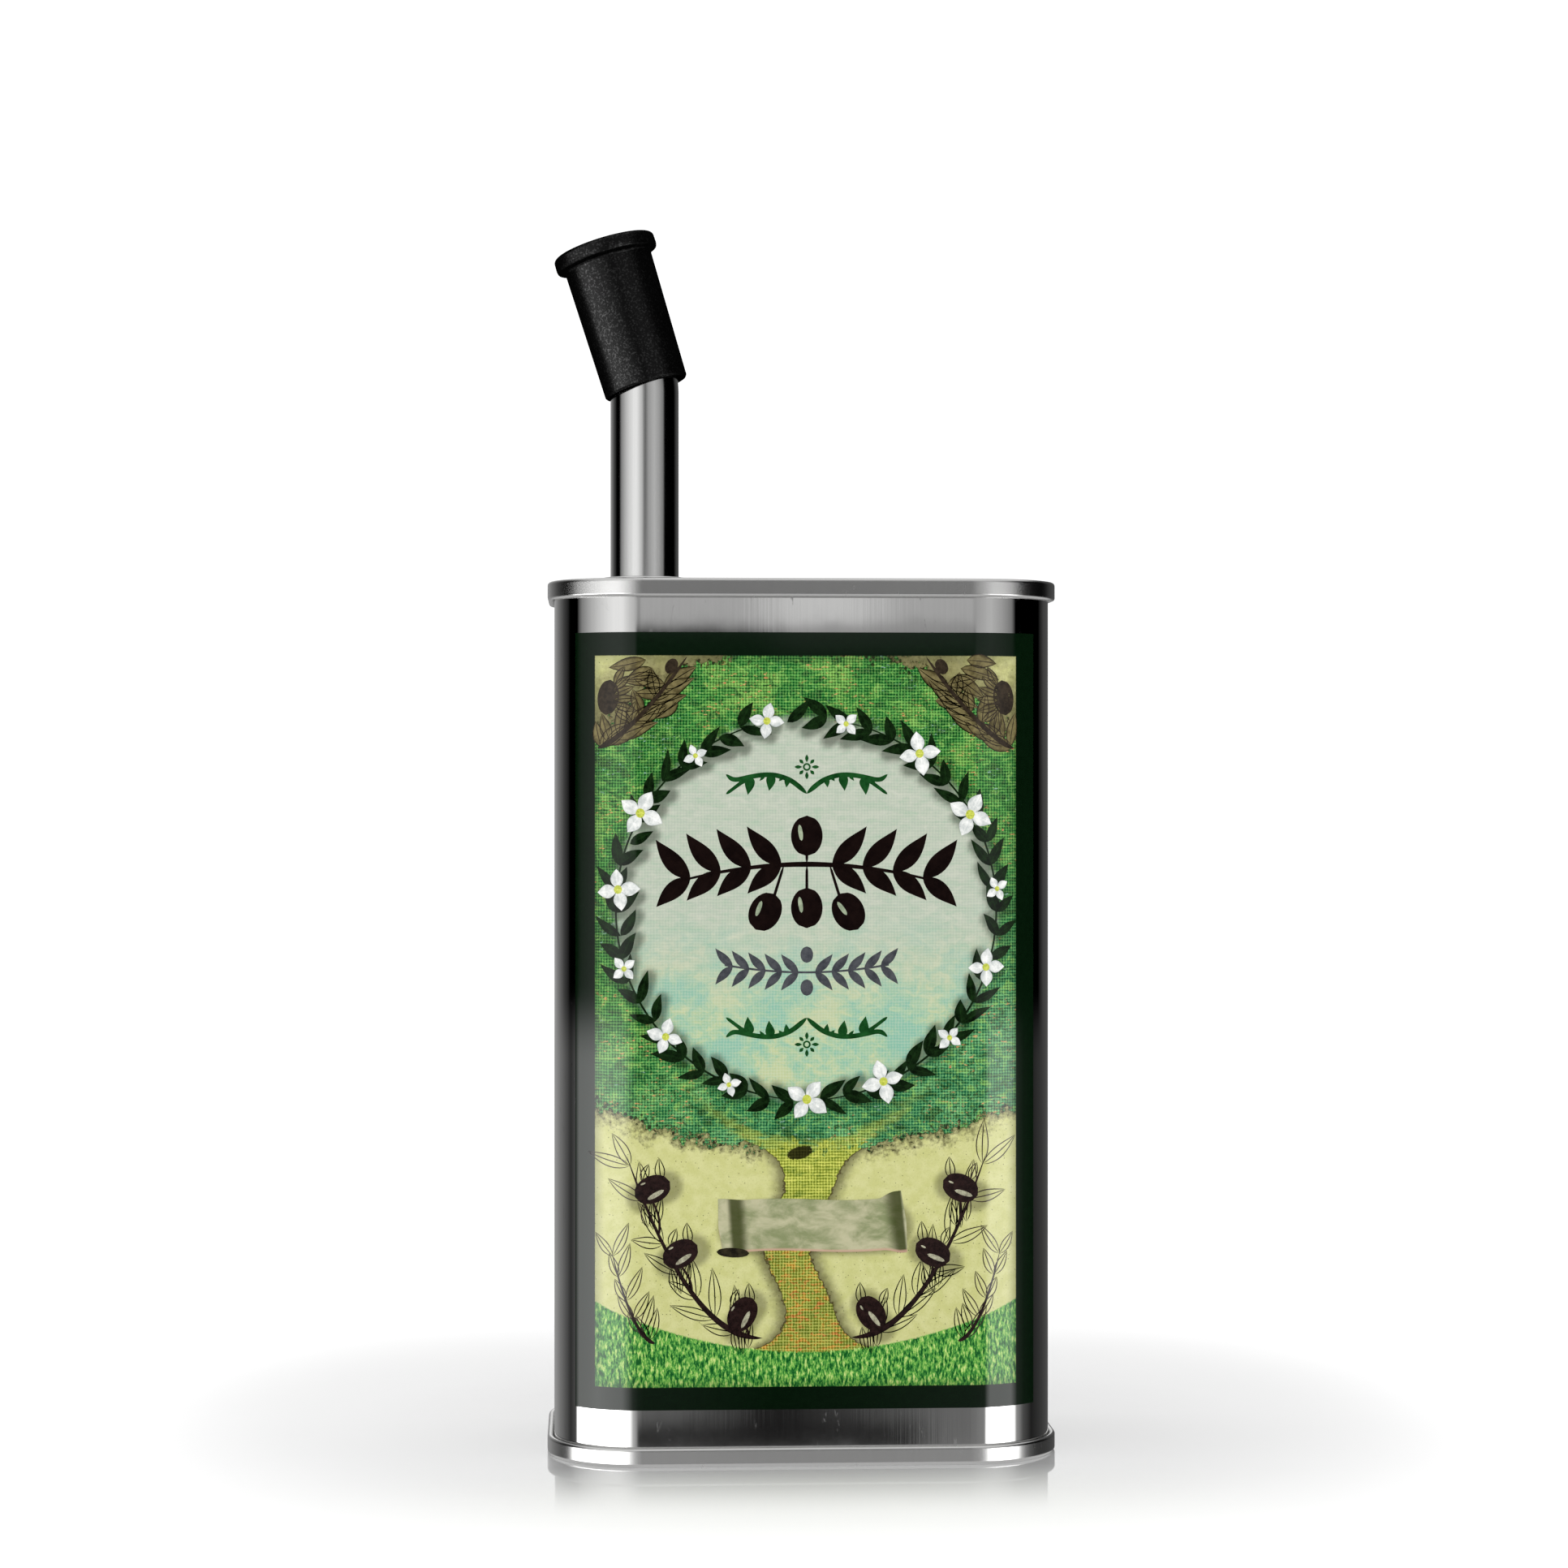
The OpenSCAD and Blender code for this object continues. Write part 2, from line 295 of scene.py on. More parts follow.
def roundedPath(corners, steps=5, closed=False):
    # Straight lines through the corners, each corner (x, y, radius) turned into an arc tangent to both sides:
    # centre = corner - ahead * r * tan(turn / 2) + left * r. Gives points and right-hand normals
    spots = np.array(corners, float)
    here, radius = spots[:, :2], spots[:, 2]
    before, after = np.roll(here, 1, 0), np.roll(here, -1, 0)
    points, normals = [], []
    for i, (corner, r) in enumerate(zip(here, radius)):
        first, last = i == 0 and not closed, i == len(here) - 1 and not closed
        arriving, leaving = (np.arctan2(*way[::-1]) for way in (corner - before[i], after[i] - corner))
        into = leaving if first else arriving
        out = into if last else leaving
        turn = (out - into + np.pi) % (2 * np.pi) - np.pi
        side = 1.0 if turn >= 0 else -1.0
        if first or last or abs(turn) < 1e-6:
            angles = np.array([into - np.pi / 2])
            points.append(corner[None])
        else:
            angles = into - np.pi / 2 + turn * np.linspace(0, 1, steps + 1)
            ahead = np.array([np.cos(into), np.sin(into)])
            left = np.array([-ahead[1], ahead[0]]) * side
            centre = corner - ahead * r * np.tan(abs(turn) / 2) + left * r
            points.append(centre + side * r * np.stack([np.cos(angles), np.sin(angles)], -1))
        normals.append(np.stack([np.cos(angles), np.sin(angles)], -1))
    return np.concatenate(points), np.concatenate(normals)


def sheetPath(points, normals, thickness):
    # Both faces of a sheet, going out along one and back along the other
    outer, inner = points + normals * thickness / 2, points - normals * thickness / 2
    return np.concatenate([outer, inner[::-1]]), np.concatenate([normals, -normals[::-1]])


def canPlan(flatSteps=6, cornerSteps=16):
    # The rounded rectangle of the body's outer face, as points and outward normals, anticlockwise from the
    # foot of its right side: four flats, each followed by a corner (cos t, sin t) * cornerRadius
    points, normals = [], []
    for turn in range(4):
        spin = turn * np.pi / 2
        half = can["flatY"] if turn % 2 == 0 else can["flatX"]
        reach = can["flatX"] if turn % 2 == 0 else can["flatY"]
        run = np.linspace(-half, half, flatSteps, endpoint=False)
        flat = np.stack([np.full_like(run, reach + can["cornerRadius"]), run], -1)
        bend = np.linspace(0, np.pi / 2, cornerSteps, endpoint=False)
        away = np.stack([np.cos(bend), np.sin(bend)], -1)
        corner = np.array([reach, half]) + can["cornerRadius"] * away
        both = np.concatenate([flat, corner])
        lean = np.concatenate([np.tile([1.0, 0.0], (len(flat), 1)), away])
        turned = np.array([[np.cos(spin), np.sin(spin)], [-np.sin(spin), np.cos(spin)]])
        points.append(both @ turned)
        normals.append(lean @ turned)
    return np.concatenate(points), np.concatenate(normals)


def roundCan(points, normals, plan):
    # Carries a path of (distance outward, height) round a plan: base + away * distance
    base, away = plan
    flat = base[None] + away[None] * points[:, None, :1]
    place = np.concatenate([flat, np.broadcast_to(points[:, None, 1:], flat.shape[:2] + (1,))], -1)
    lean = away[None] * normals[:, None, :1]
    lean = np.concatenate([lean, np.broadcast_to(normals[:, None, 1:], lean.shape[:2] + (1,))], -1)
    return place * mm, lean


def lathe(points, normals, origin, axes, columns=96):
    # Turns a path of (radius, height) about an axis:
    # origin + radius * (cos t * side + sin t * front) + height * up
    angle = np.linspace(0, 2 * np.pi, columns, endpoint=False)
    side, front, up = axes
    around = np.cos(angle)[:, None] * side + np.sin(angle)[:, None] * front
    place = origin + points[:, None, :1] * around[None] + points[:, None, 1:] * up
    lean = normals[:, None, :1] * around[None] + normals[:, None, 1:] * up
    return place * mm, lean


# The upright axes of the spout, and those of its tip
aim, bend = math.radians(spout["aim"]), math.radians(spout["bend"])
spoutSide = np.array([math.cos(aim), math.sin(aim), 0.0])
spoutFront = np.array([-math.sin(aim), math.cos(aim), 0.0])
upward = np.array([0.0, 0.0, 1.0])
spoutFoot = np.array([spout["x"], 0.0, 0.0])
uprightAxes = (spoutSide, spoutFront, upward)
tipUp = math.cos(bend) * upward - math.sin(bend) * spoutSide
tipSide = math.cos(bend) * spoutSide + math.sin(bend) * upward
tipAxes = (tipSide, spoutFront, tipUp)
bendPoint = spoutFoot + spout["bendZ"] * upward


def turned(name, corners, body, nodes, slotName, paint, tilted=False, steps=5, columns=96, closed=True):
    # A turned piece from its rounded outline, upright or on the spout's tilted tip
    points, normals = roundedPath(corners, steps, closed)
    origin, axes = (bendPoint, tipAxes) if tilted else (spoutFoot, uprightAxes)
    place, lean = lathe(points, normals, origin, axes, columns)
    piece, _ = buildMesh(name, [{"points": place, "normals": lean, "wrapRows": closed, "wrapColumns": True}])
    dress(piece, body, nodes, slotName, paint)


def tubeAlong(outer, inner, offset, low, high, steps=14, columns=72):
    # A tube that follows the bent spout at an offset from its axis: out along the outside, over the lip and
    # back inside. The bend is x = r(cos t - 1), z = r sin t, and each ring is centre + radius(cos a, sin a)
    tangent = spout["bendRadius"] * math.tan(bend / 2)
    startZ = spout["bendZ"] - tangent
    tilt = np.linspace(0, bend, steps)
    x = spout["bendRadius"] * (np.cos(tilt) - 1)
    z = startZ + spout["bendRadius"] * np.sin(tilt)
    reach = high - tangent
    x = np.concatenate([[0.0], x, [x[-1] - reach * math.sin(bend)]])
    z = np.concatenate([[low], z, [z[-1] + reach * math.cos(bend)]])
    tilt = np.concatenate([[0.0], tilt, [bend]])
    lip = (outer - inner) / 2
    over = np.linspace(0, np.pi, 7)
    order = np.arange(len(x))
    radius = [np.full(len(x), outer), inner + lip + lip * np.cos(over), np.full(len(x), inner)]
    radius.append(inner + lip - lip * np.cos(over))
    ahead = [np.zeros(len(x)), lip * np.sin(over) * 0.5, np.zeros(len(x)), -lip * np.sin(over) * 0.5]
    station = [order, np.full(7, len(x) - 1), order[::-1], np.zeros(7, int)]
    leanOut = [np.ones(len(x)), np.cos(over), -np.ones(len(x)), -np.cos(over)]
    leanUp = [np.zeros(len(x)), np.sin(over), np.zeros(len(x)), -np.sin(over)]
    profile = (radius, ahead, station, leanOut, leanUp)
    radius, ahead, station, leanOut, leanUp = (np.concatenate(part) for part in profile)
    leanOut, leanUp = leanOut[:, None, None], leanUp[:, None, None]
    tilt = tilt[station][:, None]
    side = np.cos(tilt) * spoutSide + np.sin(tilt) * upward
    along = np.cos(tilt) * upward - np.sin(tilt) * spoutSide
    centre = spoutFoot + x[station][:, None] * spoutSide + z[station][:, None] * upward
    centre = centre + side * offset + along * ahead[:, None]
    angle = np.linspace(0, 2 * np.pi, columns, endpoint=False)
    around = np.cos(angle)[None, :, None] * side[:, None] + np.sin(angle)[None, :, None] * spoutFront
    place = centre[:, None] + radius[:, None, None] * around
    lean = leanOut * around + leanUp * along[:, None]
    return {"points": place * mm, "normals": lean, "wrapRows": True, "wrapColumns": True}


# The camera, in millimetres and degrees, level and turned a little towards +X
cameraSetup = {"place": (-33.8, -600.1, 107.8), "turn": 3.0, "lens": 83.74, "sensor": 36.0}
camera = bpy.data.objects.new("camera", bpy.data.cameras.new("camera"))
camera.location = [c * mm for c in cameraSetup["place"]]
camera.rotation_euler = (math.pi / 2, 0, -math.radians(cameraSetup["turn"]))
camera.data.lens = cameraSetup["lens"]
camera.data.sensor_width = cameraSetup["sensor"]
camera.data.clip_start = 0.01
bpy.context.scene.collection.objects.link(camera)
bpy.context.scene.camera = camera
bpy.context.scene.view_settings.view_transform = "Standard"
print("camera set")

# The room round the can, in metres, and how bright its parts are
studio = {
    "backdrop": 1.12,
    "floorHalf": 4.0,
    "floorTone": 0.97,
    "shadeTone": 0.785,
    "shadeX": 0.001,
    "shadeY": 0.03,
    "shadeHalfX": 0.136,
    "shadeHalfY": 0.155,
    "mirror": 0.74,
    "mirrorRough": 0.05,
    "mirrorFade": (-0.014, 0.04),
    "shellRadius": 40.0,
    "lampPower": 5.0,
    "lampSize": 1.6,
    "lampPlace": (-0.25, -0.35, 1.5),
    "lampTurn": (-14, -10, 0),
    "ground": 0.62,
    "backPanel": 1.05,
    "ceiling": 0.86,
    "peak": 6.0,
}
# Brightness of the studio as the metal mirrors it, by compass angle from the front, positive towards +X
highBands = (
    (-180, 0.40), (-158, 0.36), (-140, 0.20), (-125, 0.07), (-110, 0.0), (-94, 0.0), (-86, 0.30), (-70, 0.62),
    (-50, 0.98), (-38, 1.15), (-26, 1.15), (-17, 0.85), (-8, 0.62), (-3, 0.30), (1, 0.17), (5, 0.26),
    (12, 0.46), (33, 0.64), (50, 0.46), (64, 0.26), (70, 0.0), (118, 0.0), (136, 0.07), (164, 0.10),
    (180, 0.40),
)
lowBands = (
    (-180, 0.34), (-152, 0.34), (-128, 0.18), (-108, 0.04), (-97, 0.10), (-90, 4.2), (-60, 6.0), (-26, 5.0),
    (-12, 0.7), (-5, 0.26), (0.9, 0.17), (1.5, 0.13), (2.2, 0.027), (2.8, 0.012), (3.5, 0.014), (4.1, 0.05),
    (4.8, 0.15), (6, 0.2), (12, 0.22), (25, 0.3), (32, 4.6), (62, 4.6), (72, 0.4), (84, 0.1), (100, 0.02),
    (125, 0.05), (160, 0.1), (180, 0.34),
)
# Narrow strips in front of the can: the heights and the compass angles between which each fades in and out,
# all in degrees, then its strength and its light. The last has no lower end
strips = {
    "gap": ((-5.0, -4.0, 2.54, 2.74), (-10.0, -5.0, 9.0, 15.0), 1.0, 0.04),
    "lip": ((2.54, 2.76, 3.3, 3.7), (-6.0, 0.0, 7.0, 14.0), 1.0, 0.54),
    "underLip": ((2.2, 2.34, 2.6, 2.76), (2.4, 3.3, 9.0, 14.0), 0.9, 0.4),
    "sill": ((-10.52, -10.4, -10.1, -9.72), (-8.0, -3.0, 4.6, 5.6), 0.9, 0.01),
    "belowSill": ((-91.0, -90.0, -10.5, -10.32), (-12.0, -8.0, 14.0, 26.0), 1.0, 0.5),
}
lipGlint = {"angle": 3.6, "soft": (1.5, 0.3), "light": 0.24}


def stagePiece(name, patch, paint):
    made, _ = buildMesh(name, [patch])
    made.data.materials.append(paint.material)
    return made


def makeFloor():
    # Pale paper with a wide soft shadow painted into its colour under the can, and a faint mirror image that
    # fades away from its foot
    paint = Paint("floorPaper", rough=1.0, gloss=0.0)
    x, y, _ = paint.split(paint.here())
    # Painted shadow: the paper's colour darkens in a wide soft ellipse round the can
    across = paint.absolute(x - studio["shadeX"]) / studio["shadeHalfX"]
    behind = paint.absolute(y - studio["shadeY"]) / studio["shadeHalfY"]
    reach = paint.maths("SQRT", across ** 4.0 + behind ** 2.0)
    paintedShadeLevel = paint.smooth(reach, 0.35, 1.0, studio["shadeTone"], 1.0)
    paint.drive(color=paint.tinted(studio["floorTone"] * paintedShadeLevel + 0.01 * paint.grain(40)))
    sideways = paint.most(paint.absolute(x) - can["halfWidth"] * mm, 0.0)
    forward = paint.most(paint.absolute(y) - can["halfDepth"] * mm, 0.0)
    away = paint.maths("SQRT", sideways * sideways + forward * forward)
    slant = paint.node("LayerWeight", inputs={"Blend": 0.5}, output="Facing")
    mirror = paint.smooth(away, *studio["mirrorFade"], studio["mirror"], 0.0) * paint.smooth(slant, 0.4, 0.78)
    shine = paint.tree.nodes.new("ShaderNodeBsdfGlossy")
    shine.inputs["Roughness"].default_value = studio["mirrorRough"]
    blend = paint.tree.nodes.new("ShaderNodeMixShader")
    paint.join(mirror, blend.inputs[0])
    paint.tree.links.new(paint.shader.outputs[0], blend.inputs[1])
    paint.tree.links.new(shine.outputs[0], blend.inputs[2])
    paint.tree.links.new(blend.outputs[0], paint.tree.nodes["Material Output"].inputs["Surface"])
    half = studio["floorHalf"]
    wide, deep = np.meshgrid([-half, half], [-half, half], indexing="ij")
    points = np.stack([wide, deep, np.zeros_like(wide)], -1)
    floor = stagePiece("floor", {"points": points, "normals": np.broadcast_to(upward, points.shape)}, paint)
    floor.visible_glossy = False


def makeShell():
    # A ball round the whole studio that only mirrored rays see: light panels with dark gaps between them
    paint = Paint("studioPanels", color=(0, 0, 0, 1), gloss=0.0, rough=1.0)
    x, y, z = paint.split(paint.here())
    compass = paint.maths("ARCTAN2", x, y * -1.0) / (2 * math.pi) + 0.5
    angle = (compass - 0.5) * 360.0
    level = paint.maths("ARCSINE", z / studio["shellRadius"]) * (180 / math.pi)

    def light(brightness):
        return gray(brightness / studio["peak"])

    def bands(pairs):
        return paint.ramp(compass, *[(at / 360 + 0.5, light(brightness)) for at, brightness in pairs])

    front = paint.mix(paint.smooth(level, -4.3, -3.1), bands(lowBands), bands(highBands))
    for name, (levels, angles, share, brightness) in strips.items():
        tone = light(brightness)
        if name == "lip":
            glint = paint.smooth(paint.absolute(angle - lipGlint["angle"]), *lipGlint["soft"])
            tone = paint.tinted((glint * lipGlint["light"] + brightness) / studio["peak"])
        front = paint.mix(paint.between(level, *levels) * paint.between(angle, *angles) * share, front, tone)
    ground = paint.mix(paint.smooth(level, -22.0, -13.0), light(studio["ground"]), front)
    back = paint.smooth(paint.absolute(angle), 164.0, 170.0) * paint.smooth(level, 7.6, 8.6)
    middle = paint.mix(back, ground, light(studio["backPanel"]))
    glow = paint.mix(paint.smooth(level, 34.0, 52.0), middle, light(studio["ceiling"]))
    paint.drive(glow=glow, glowPower=studio["peak"])
    around, heights = np.linspace(0, 2 * np.pi, 96, endpoint=False), np.linspace(-np.pi / 2, np.pi / 2, 49)
    turn, rise = np.meshgrid(around, heights, indexing="ij")
    inward = -np.stack([np.cos(rise) * np.cos(turn), np.cos(rise) * np.sin(turn), np.sin(rise)], -1)
    patch = {"points": -inward * studio["shellRadius"], "normals": inward, "wrapRows": True}
    shell = stagePiece("studioShell", patch, paint)
    for sight in ("camera", "diffuse", "transmission", "shadow", "volume_scatter"):
        setattr(shell, "visible_" + sight, False)


def makeLights():
    world = bpy.data.worlds.new("studioAir")
    world.use_nodes = True
    world.node_tree.nodes["Background"].inputs["Color"].default_value = gray(studio["backdrop"])
    bpy.context.scene.world = world
    lamp = bpy.data.objects.new("softLamp", bpy.data.lights.new("softLamp", "AREA"))
    lamp.data.energy = studio["lampPower"]
    lamp.data.size = studio["lampSize"]
    lamp.location = studio["lampPlace"]
    lamp.rotation_euler = [math.radians(a) for a in studio["lampTurn"]]
    lamp.visible_camera = False
    lamp.visible_glossy = False
    bpy.context.scene.collection.objects.link(lamp)


makeFloor()
makeShell()
makeLights()
print("studio set")


# Distances in metres from the middle of the welded line and from the can's middle to its back
weldLook = {
    "half": (0.0003, 0.0006),
    "tintHalf": (0.0006, 0.0022),
    "back": (0.0225, 0.023),
    "rimFade": 0.0002,
}


def tinplatePaint():
    # Bright rolled tinplate: upright rolling lines, faint clouding, duller rims, and the weld down the back
    paint = Paint("tinplate", metal=1.0)
    lines = paint.grain((2600, 2600, 22), 2.0)
    cloud = paint.grain((60, 60, 34))
    spots = paint.grain(900, 2.0)
    scuffs = paint.smooth(paint.grain((500, 500, 140), 4.0, 0.7, 0.8, (0.3, 0.2, 0.1)), 0.62, 0.72)
    shine = 0.61 + 0.05 * lines + 0.05 * cloud - 0.05 * scuffs
    x, y, z = paint.split(paint.here())
    low, high = can["seamHeight"] * mm, (canHeight - can["seamHeight"]) * mm
    wall = paint.between(z, low, low + weldLook["rimFade"], high - weldLook["rimFade"], high)
    back = paint.smooth(y, *weldLook["back"]) * wall
    weld = paint.smooth(paint.absolute(x), *weldLook["half"], 1.0, 0.0) * back
    tint = paint.smooth(paint.absolute(x), *weldLook["tintHalf"], 1.0, 0.0) * back
    color = paint.tinted(shine * (0.98 + 0.02 * wall), (1.0, 0.997, 0.985))
    color = paint.mix(tint * 0.35, color, (0.42, 0.38, 0.34, 1.0))
    paint.drive(
        color=paint.mix(weld * 0.6, color, (0.2, 0.21, 0.24, 1.0)),
        rough=0.015 + 0.02 * cloud + 0.01 * spots + 0.08 * scuffs + 0.2 * weld + 0.2 * (1.0 - wall),
        normal=paint.bump(cloud * 2.0 + weld * 3.0 + lines * 0.2, 0.00002, 0.3),
    )
    return paint


def stainlessPaint():
    # Drawn stainless tube: fine lengthwise lines and a few faint smears
    paint = Paint("stainlessSteel", metal=1.0)
    lines = paint.grain((3200, 3200, 26), 2.0)
    smears = paint.grain((240, 240, 60), 4.0, 0.6)
    paint.drive(
        color=paint.tinted(0.62 + 0.07 * lines, (1.0, 1.0, 0.99)),
        rough=0.06 + 0.08 * lines * smears + 0.05 * smears,
        normal=paint.bump(lines, 0.00001, 0.3),
    )
    return paint


def blackPaint(name, level, roughness, fineness, depth, gloss=0.45, sheen=0.0):
    # Black plastic or rubber with a moulded grain, its colour a little lighter on the grain's peaks
    paint = Paint(name, gloss=gloss, coatRough=roughness)
    fine = paint.grain(fineness, 3.0, 0.65)
    broad = paint.grain(110)
    peaks = paint.smooth(fine, 0.5, 0.66)
    paint.drive(
        color=paint.mix(peaks * 0.7 + broad * 0.2, gray(level * 0.5), gray(level * 2.4)),
        rough=roughness - 0.12 * peaks + 0.1 * broad,
        normal=paint.bump(fine, depth, 1.0),
    )
    if sheen:
        # A skin that shines on the grain's peaks where it faces the eye and dies away towards the edges
        facing = paint.node("LayerWeight", inputs={"Blend": 0.5}, output="Facing")
        paint.drive(coat=paint.smooth(facing, 0.62, 0.12, 0.0, sheen) * (0.45 + 1.3 * peaks))
    return paint


def plainPaint(name, color, roughness, fineness):
    # A quiet finish for the small inner pieces: mottled colour over a fine grain
    paint = Paint(name)
    mottle = paint.grain(fineness, 4.0)
    dark = tuple(c * 0.75 for c in color[:3]) + (1.0,)
    paint.drive(
        color=paint.mix(mottle, dark, color),
        rough=roughness - 0.1 + 0.2 * mottle,
        normal=paint.bump(mottle, 0.00003, 0.4),
    )
    return paint


tinplate = tinplatePaint()
stainless = stainlessPaint()
capPaint = blackPaint("capPlastic", 0.0016, 0.29, 3000, 0.00015, 0.0, 0.62)
collarPaint = blackPaint("collarPlastic", 0.012, 0.34, 2400, 0.00003)
bungPaint = blackPaint("bungRubber", 0.02, 0.55, 1800, 0.00004)
ringPaint = blackPaint("ringRubber", 0.025, 0.5, 3000, 0.00002)
compoundPaint = plainPaint("liningCompound", gray(0.32), 0.8, 900)
foamPaint = plainPaint("linerFoam", (0.8, 0.8, 0.77, 1.0), 0.85, 2200)
print("finishes mixed")


# The double seam, as distances outward from the body's face and inward from the rim
seam = {
    "chuck": -1.5 * can["sheet"],
    "skirt": can["seamOut"] - can["sheet"] / 2,
    "fold": 0.475,
    "hookTip": 1.0,
    "hook": 0.225,
    "panelBend": 0.6,
    "panelEdge": 0.62,
}
# Shapes pressed in the two panels: beads and steps, each (height, distance inside the body's face, width)
topShapes = {"beads": ((0.34, 3.6, 1.1), (0.3, 8.0, 1.3)), "rise": (0.22, 12.0, 1.6), "seat": (12.6, 2.6)}
bottomShapes = {"outerBead": (0.3, 3.6, 1.1), "drop": (0.6, 8.0, 1.4), "innerBead": (0.18, 13.0, 1.2)}
neck = {"radius": 9.2, "curl": 0.5, "lip": 2.15, "foot": 1.0}
bodyHook = {"fold": 0.35, "reach": 0.575, "gap": 0.3, "drop": 0.7}


def seamCorners(panelZ):
    # The end's sheet from the free edge of its hook, over the rim and down to the panel.
    # Heights are inward from the rim
    low = can["sheet"] / 2
    curlZ = can["seamHeight"] - low
    curl = (seam["skirt"] - seam["hook"]) / 2 - 0.001
    return [
        (seam["hook"], seam["hookTip"], 0),
        (seam["hook"], curlZ, curl),
        (seam["skirt"], curlZ, curl),
        (seam["skirt"], low, seam["fold"]),
        (seam["chuck"], low, seam["fold"]),
        (seam["chuck"], panelZ, seam["panelBend"]),
        (seam["chuck"] - seam["panelEdge"], panelZ, 0),
    ]


def planDistance(x, y):
    # How far a point lies inside the body's outer face: the usual distance to a rounded rectangle
    qx = np.abs(x) - can["flatX"]
    qy = np.abs(y) - can["flatY"]
    outside = np.hypot(np.maximum(qx, 0), np.maximum(qy, 0))
    return can["cornerRadius"] - outside - np.minimum(np.maximum(qx, qy), 0)


def hump(distance, height, middle, width):
    # A smooth pressed bead, height * (1 - t^2)^2: its height at the middle, nothing beyond its width
    t = np.clip(np.abs(distance - middle) / width, 0, 1)
    return height * (1 - t * t) ** 2


def step(distance, start, width):
    # From nothing at the start to one, as 3t^2 - 2t^3
    t = np.clip((distance - start) / width, 0, 1)
    return t * t * (3 - 2 * t)


def topPanel(x, y):
    # Two beads that follow the rim, and a raised seat round the neck; heights downward from the rim
    inside = planDistance(x, y)
    clear = step(np.hypot(x - spout["x"], y), *topShapes["seat"])
    rise, start, width = topShapes["rise"]
    raised = sum(hump(inside, *bead) for bead in topShapes["beads"]) + rise * step(inside, start, width)
    return can["topRecess"] + can["sheet"] / 2 - raised * clear


def bottomPanel(x, y):
    # One bead near the wall, then a step that drops the middle of the panel; heights up from the base
    inside = planDistance(x, y)
    drop, start, width = bottomShapes["drop"]
    level = can["bottomRecess"] - can["sheet"] / 2 - hump(inside, *bottomShapes["outerBead"])
    return level - drop * step(inside, start, width) + hump(inside, *bottomShapes["innerBead"])


def panelRows(height, plan, innerEdge, rows, beadReach):
    # Rows from the panel's edge to an inner outline, with normals from the slope of the height formula.
    # Most rows lie close together over the pressed beads, and the rest further apart beyond them
    base, away = plan
    edge = base + away * (seam["chuck"] - seam["panelEdge"])
    most = 0.85
    reach = np.linalg.norm(innerEdge - edge, axis=1)
    beads = np.minimum(beadReach, reach * 0.75)
    share = np.linspace(0, 1, rows)[1:, None]
    run = np.where(share < most, share / most * beads, beads + (share - most) / (1 - most) * (reach - beads))
    t = (run / reach)[..., None]
    flat = edge[None] * (1 - t) + innerEdge[None] * t
    x, y = flat[..., 0], flat[..., 1]
    nudge = 0.02
    slopeX = (height(x + nudge, y) - height(x - nudge, y)) / (2 * nudge)
    slopeY = (height(x, y + nudge) - height(x, y - nudge)) / (2 * nudge)
    place = np.stack([x, y, height(x, y)], -1) * mm
    lean = np.stack([-slopeX, -slopeY, np.ones_like(x)], -1)
    return place, lean / np.linalg.norm(lean, axis=-1, keepdims=True)


def thickSheet(place, lean):
    # The two faces of a sheet whose middle is given
    half = can["sheet"] / 2 * mm
    points = np.concatenate([place + lean * half, (place - lean * half)[::-1]])
    normals = np.concatenate([lean, -lean[::-1]])
    return points, normals


def turnOver(points, normals):
    # Heights inward from the top rim become heights above the base
    flip = np.array([1.0, 1.0, -1.0])
    return points * flip + np.array([0, 0, canHeight * mm]), normals * flip


def makeTopEnd():
    plan = canPlan(48, 18)
    low = can["topRecess"] + can["sheet"] / 2
    points, normals = roundedPath(seamCorners(low), 6)
    seamPlace, seamLean = roundCan(points, normals, plan)
    middle = np.array([[spout["x"], 0.0]])
    angle = np.arctan2(plan[0][:, 1], plan[0][:, 0] - spout["x"])
    circle = np.stack([np.cos(angle), np.sin(angle)], -1)
    foot = middle + circle * (neck["radius"] + neck["foot"] + 0.1)
    panelPlace, panelLean = panelRows(topPanel, plan, foot, 80, 19.0)
    wall = neck["radius"] + can["sheet"] / 2
    lip = can["topRecess"] - neck["lip"] + 0.08
    corners = [
        (wall + neck["foot"] + 0.09, low, 0),
        (wall, low, neck["foot"] - 0.1),
        (wall, lip, neck["curl"]),
        (wall + 2 * neck["curl"], lip, neck["curl"] - 0.01),
        (wall + 2 * neck["curl"], lip + 2 * neck["curl"], neck["curl"] - 0.02),
        (wall + 0.35, lip + 2 * neck["curl"], 0),
    ]
    points, normals = roundedPath(corners, 6)
    neckPlace, neckLean = roundCan(points, normals, (middle, circle))
    place = np.concatenate([seamPlace, panelPlace, neckPlace])
    lean = np.concatenate([seamLean, panelLean, neckLean])
    place, lean = turnOver(*thickSheet(place, lean))
    patch = {"points": place, "normals": lean, "wrapRows": True, "wrapColumns": True}
    piece, _ = buildMesh("topEnd", [patch])
    dress(piece, "can", ["top_end"], "tinplate", tinplate)


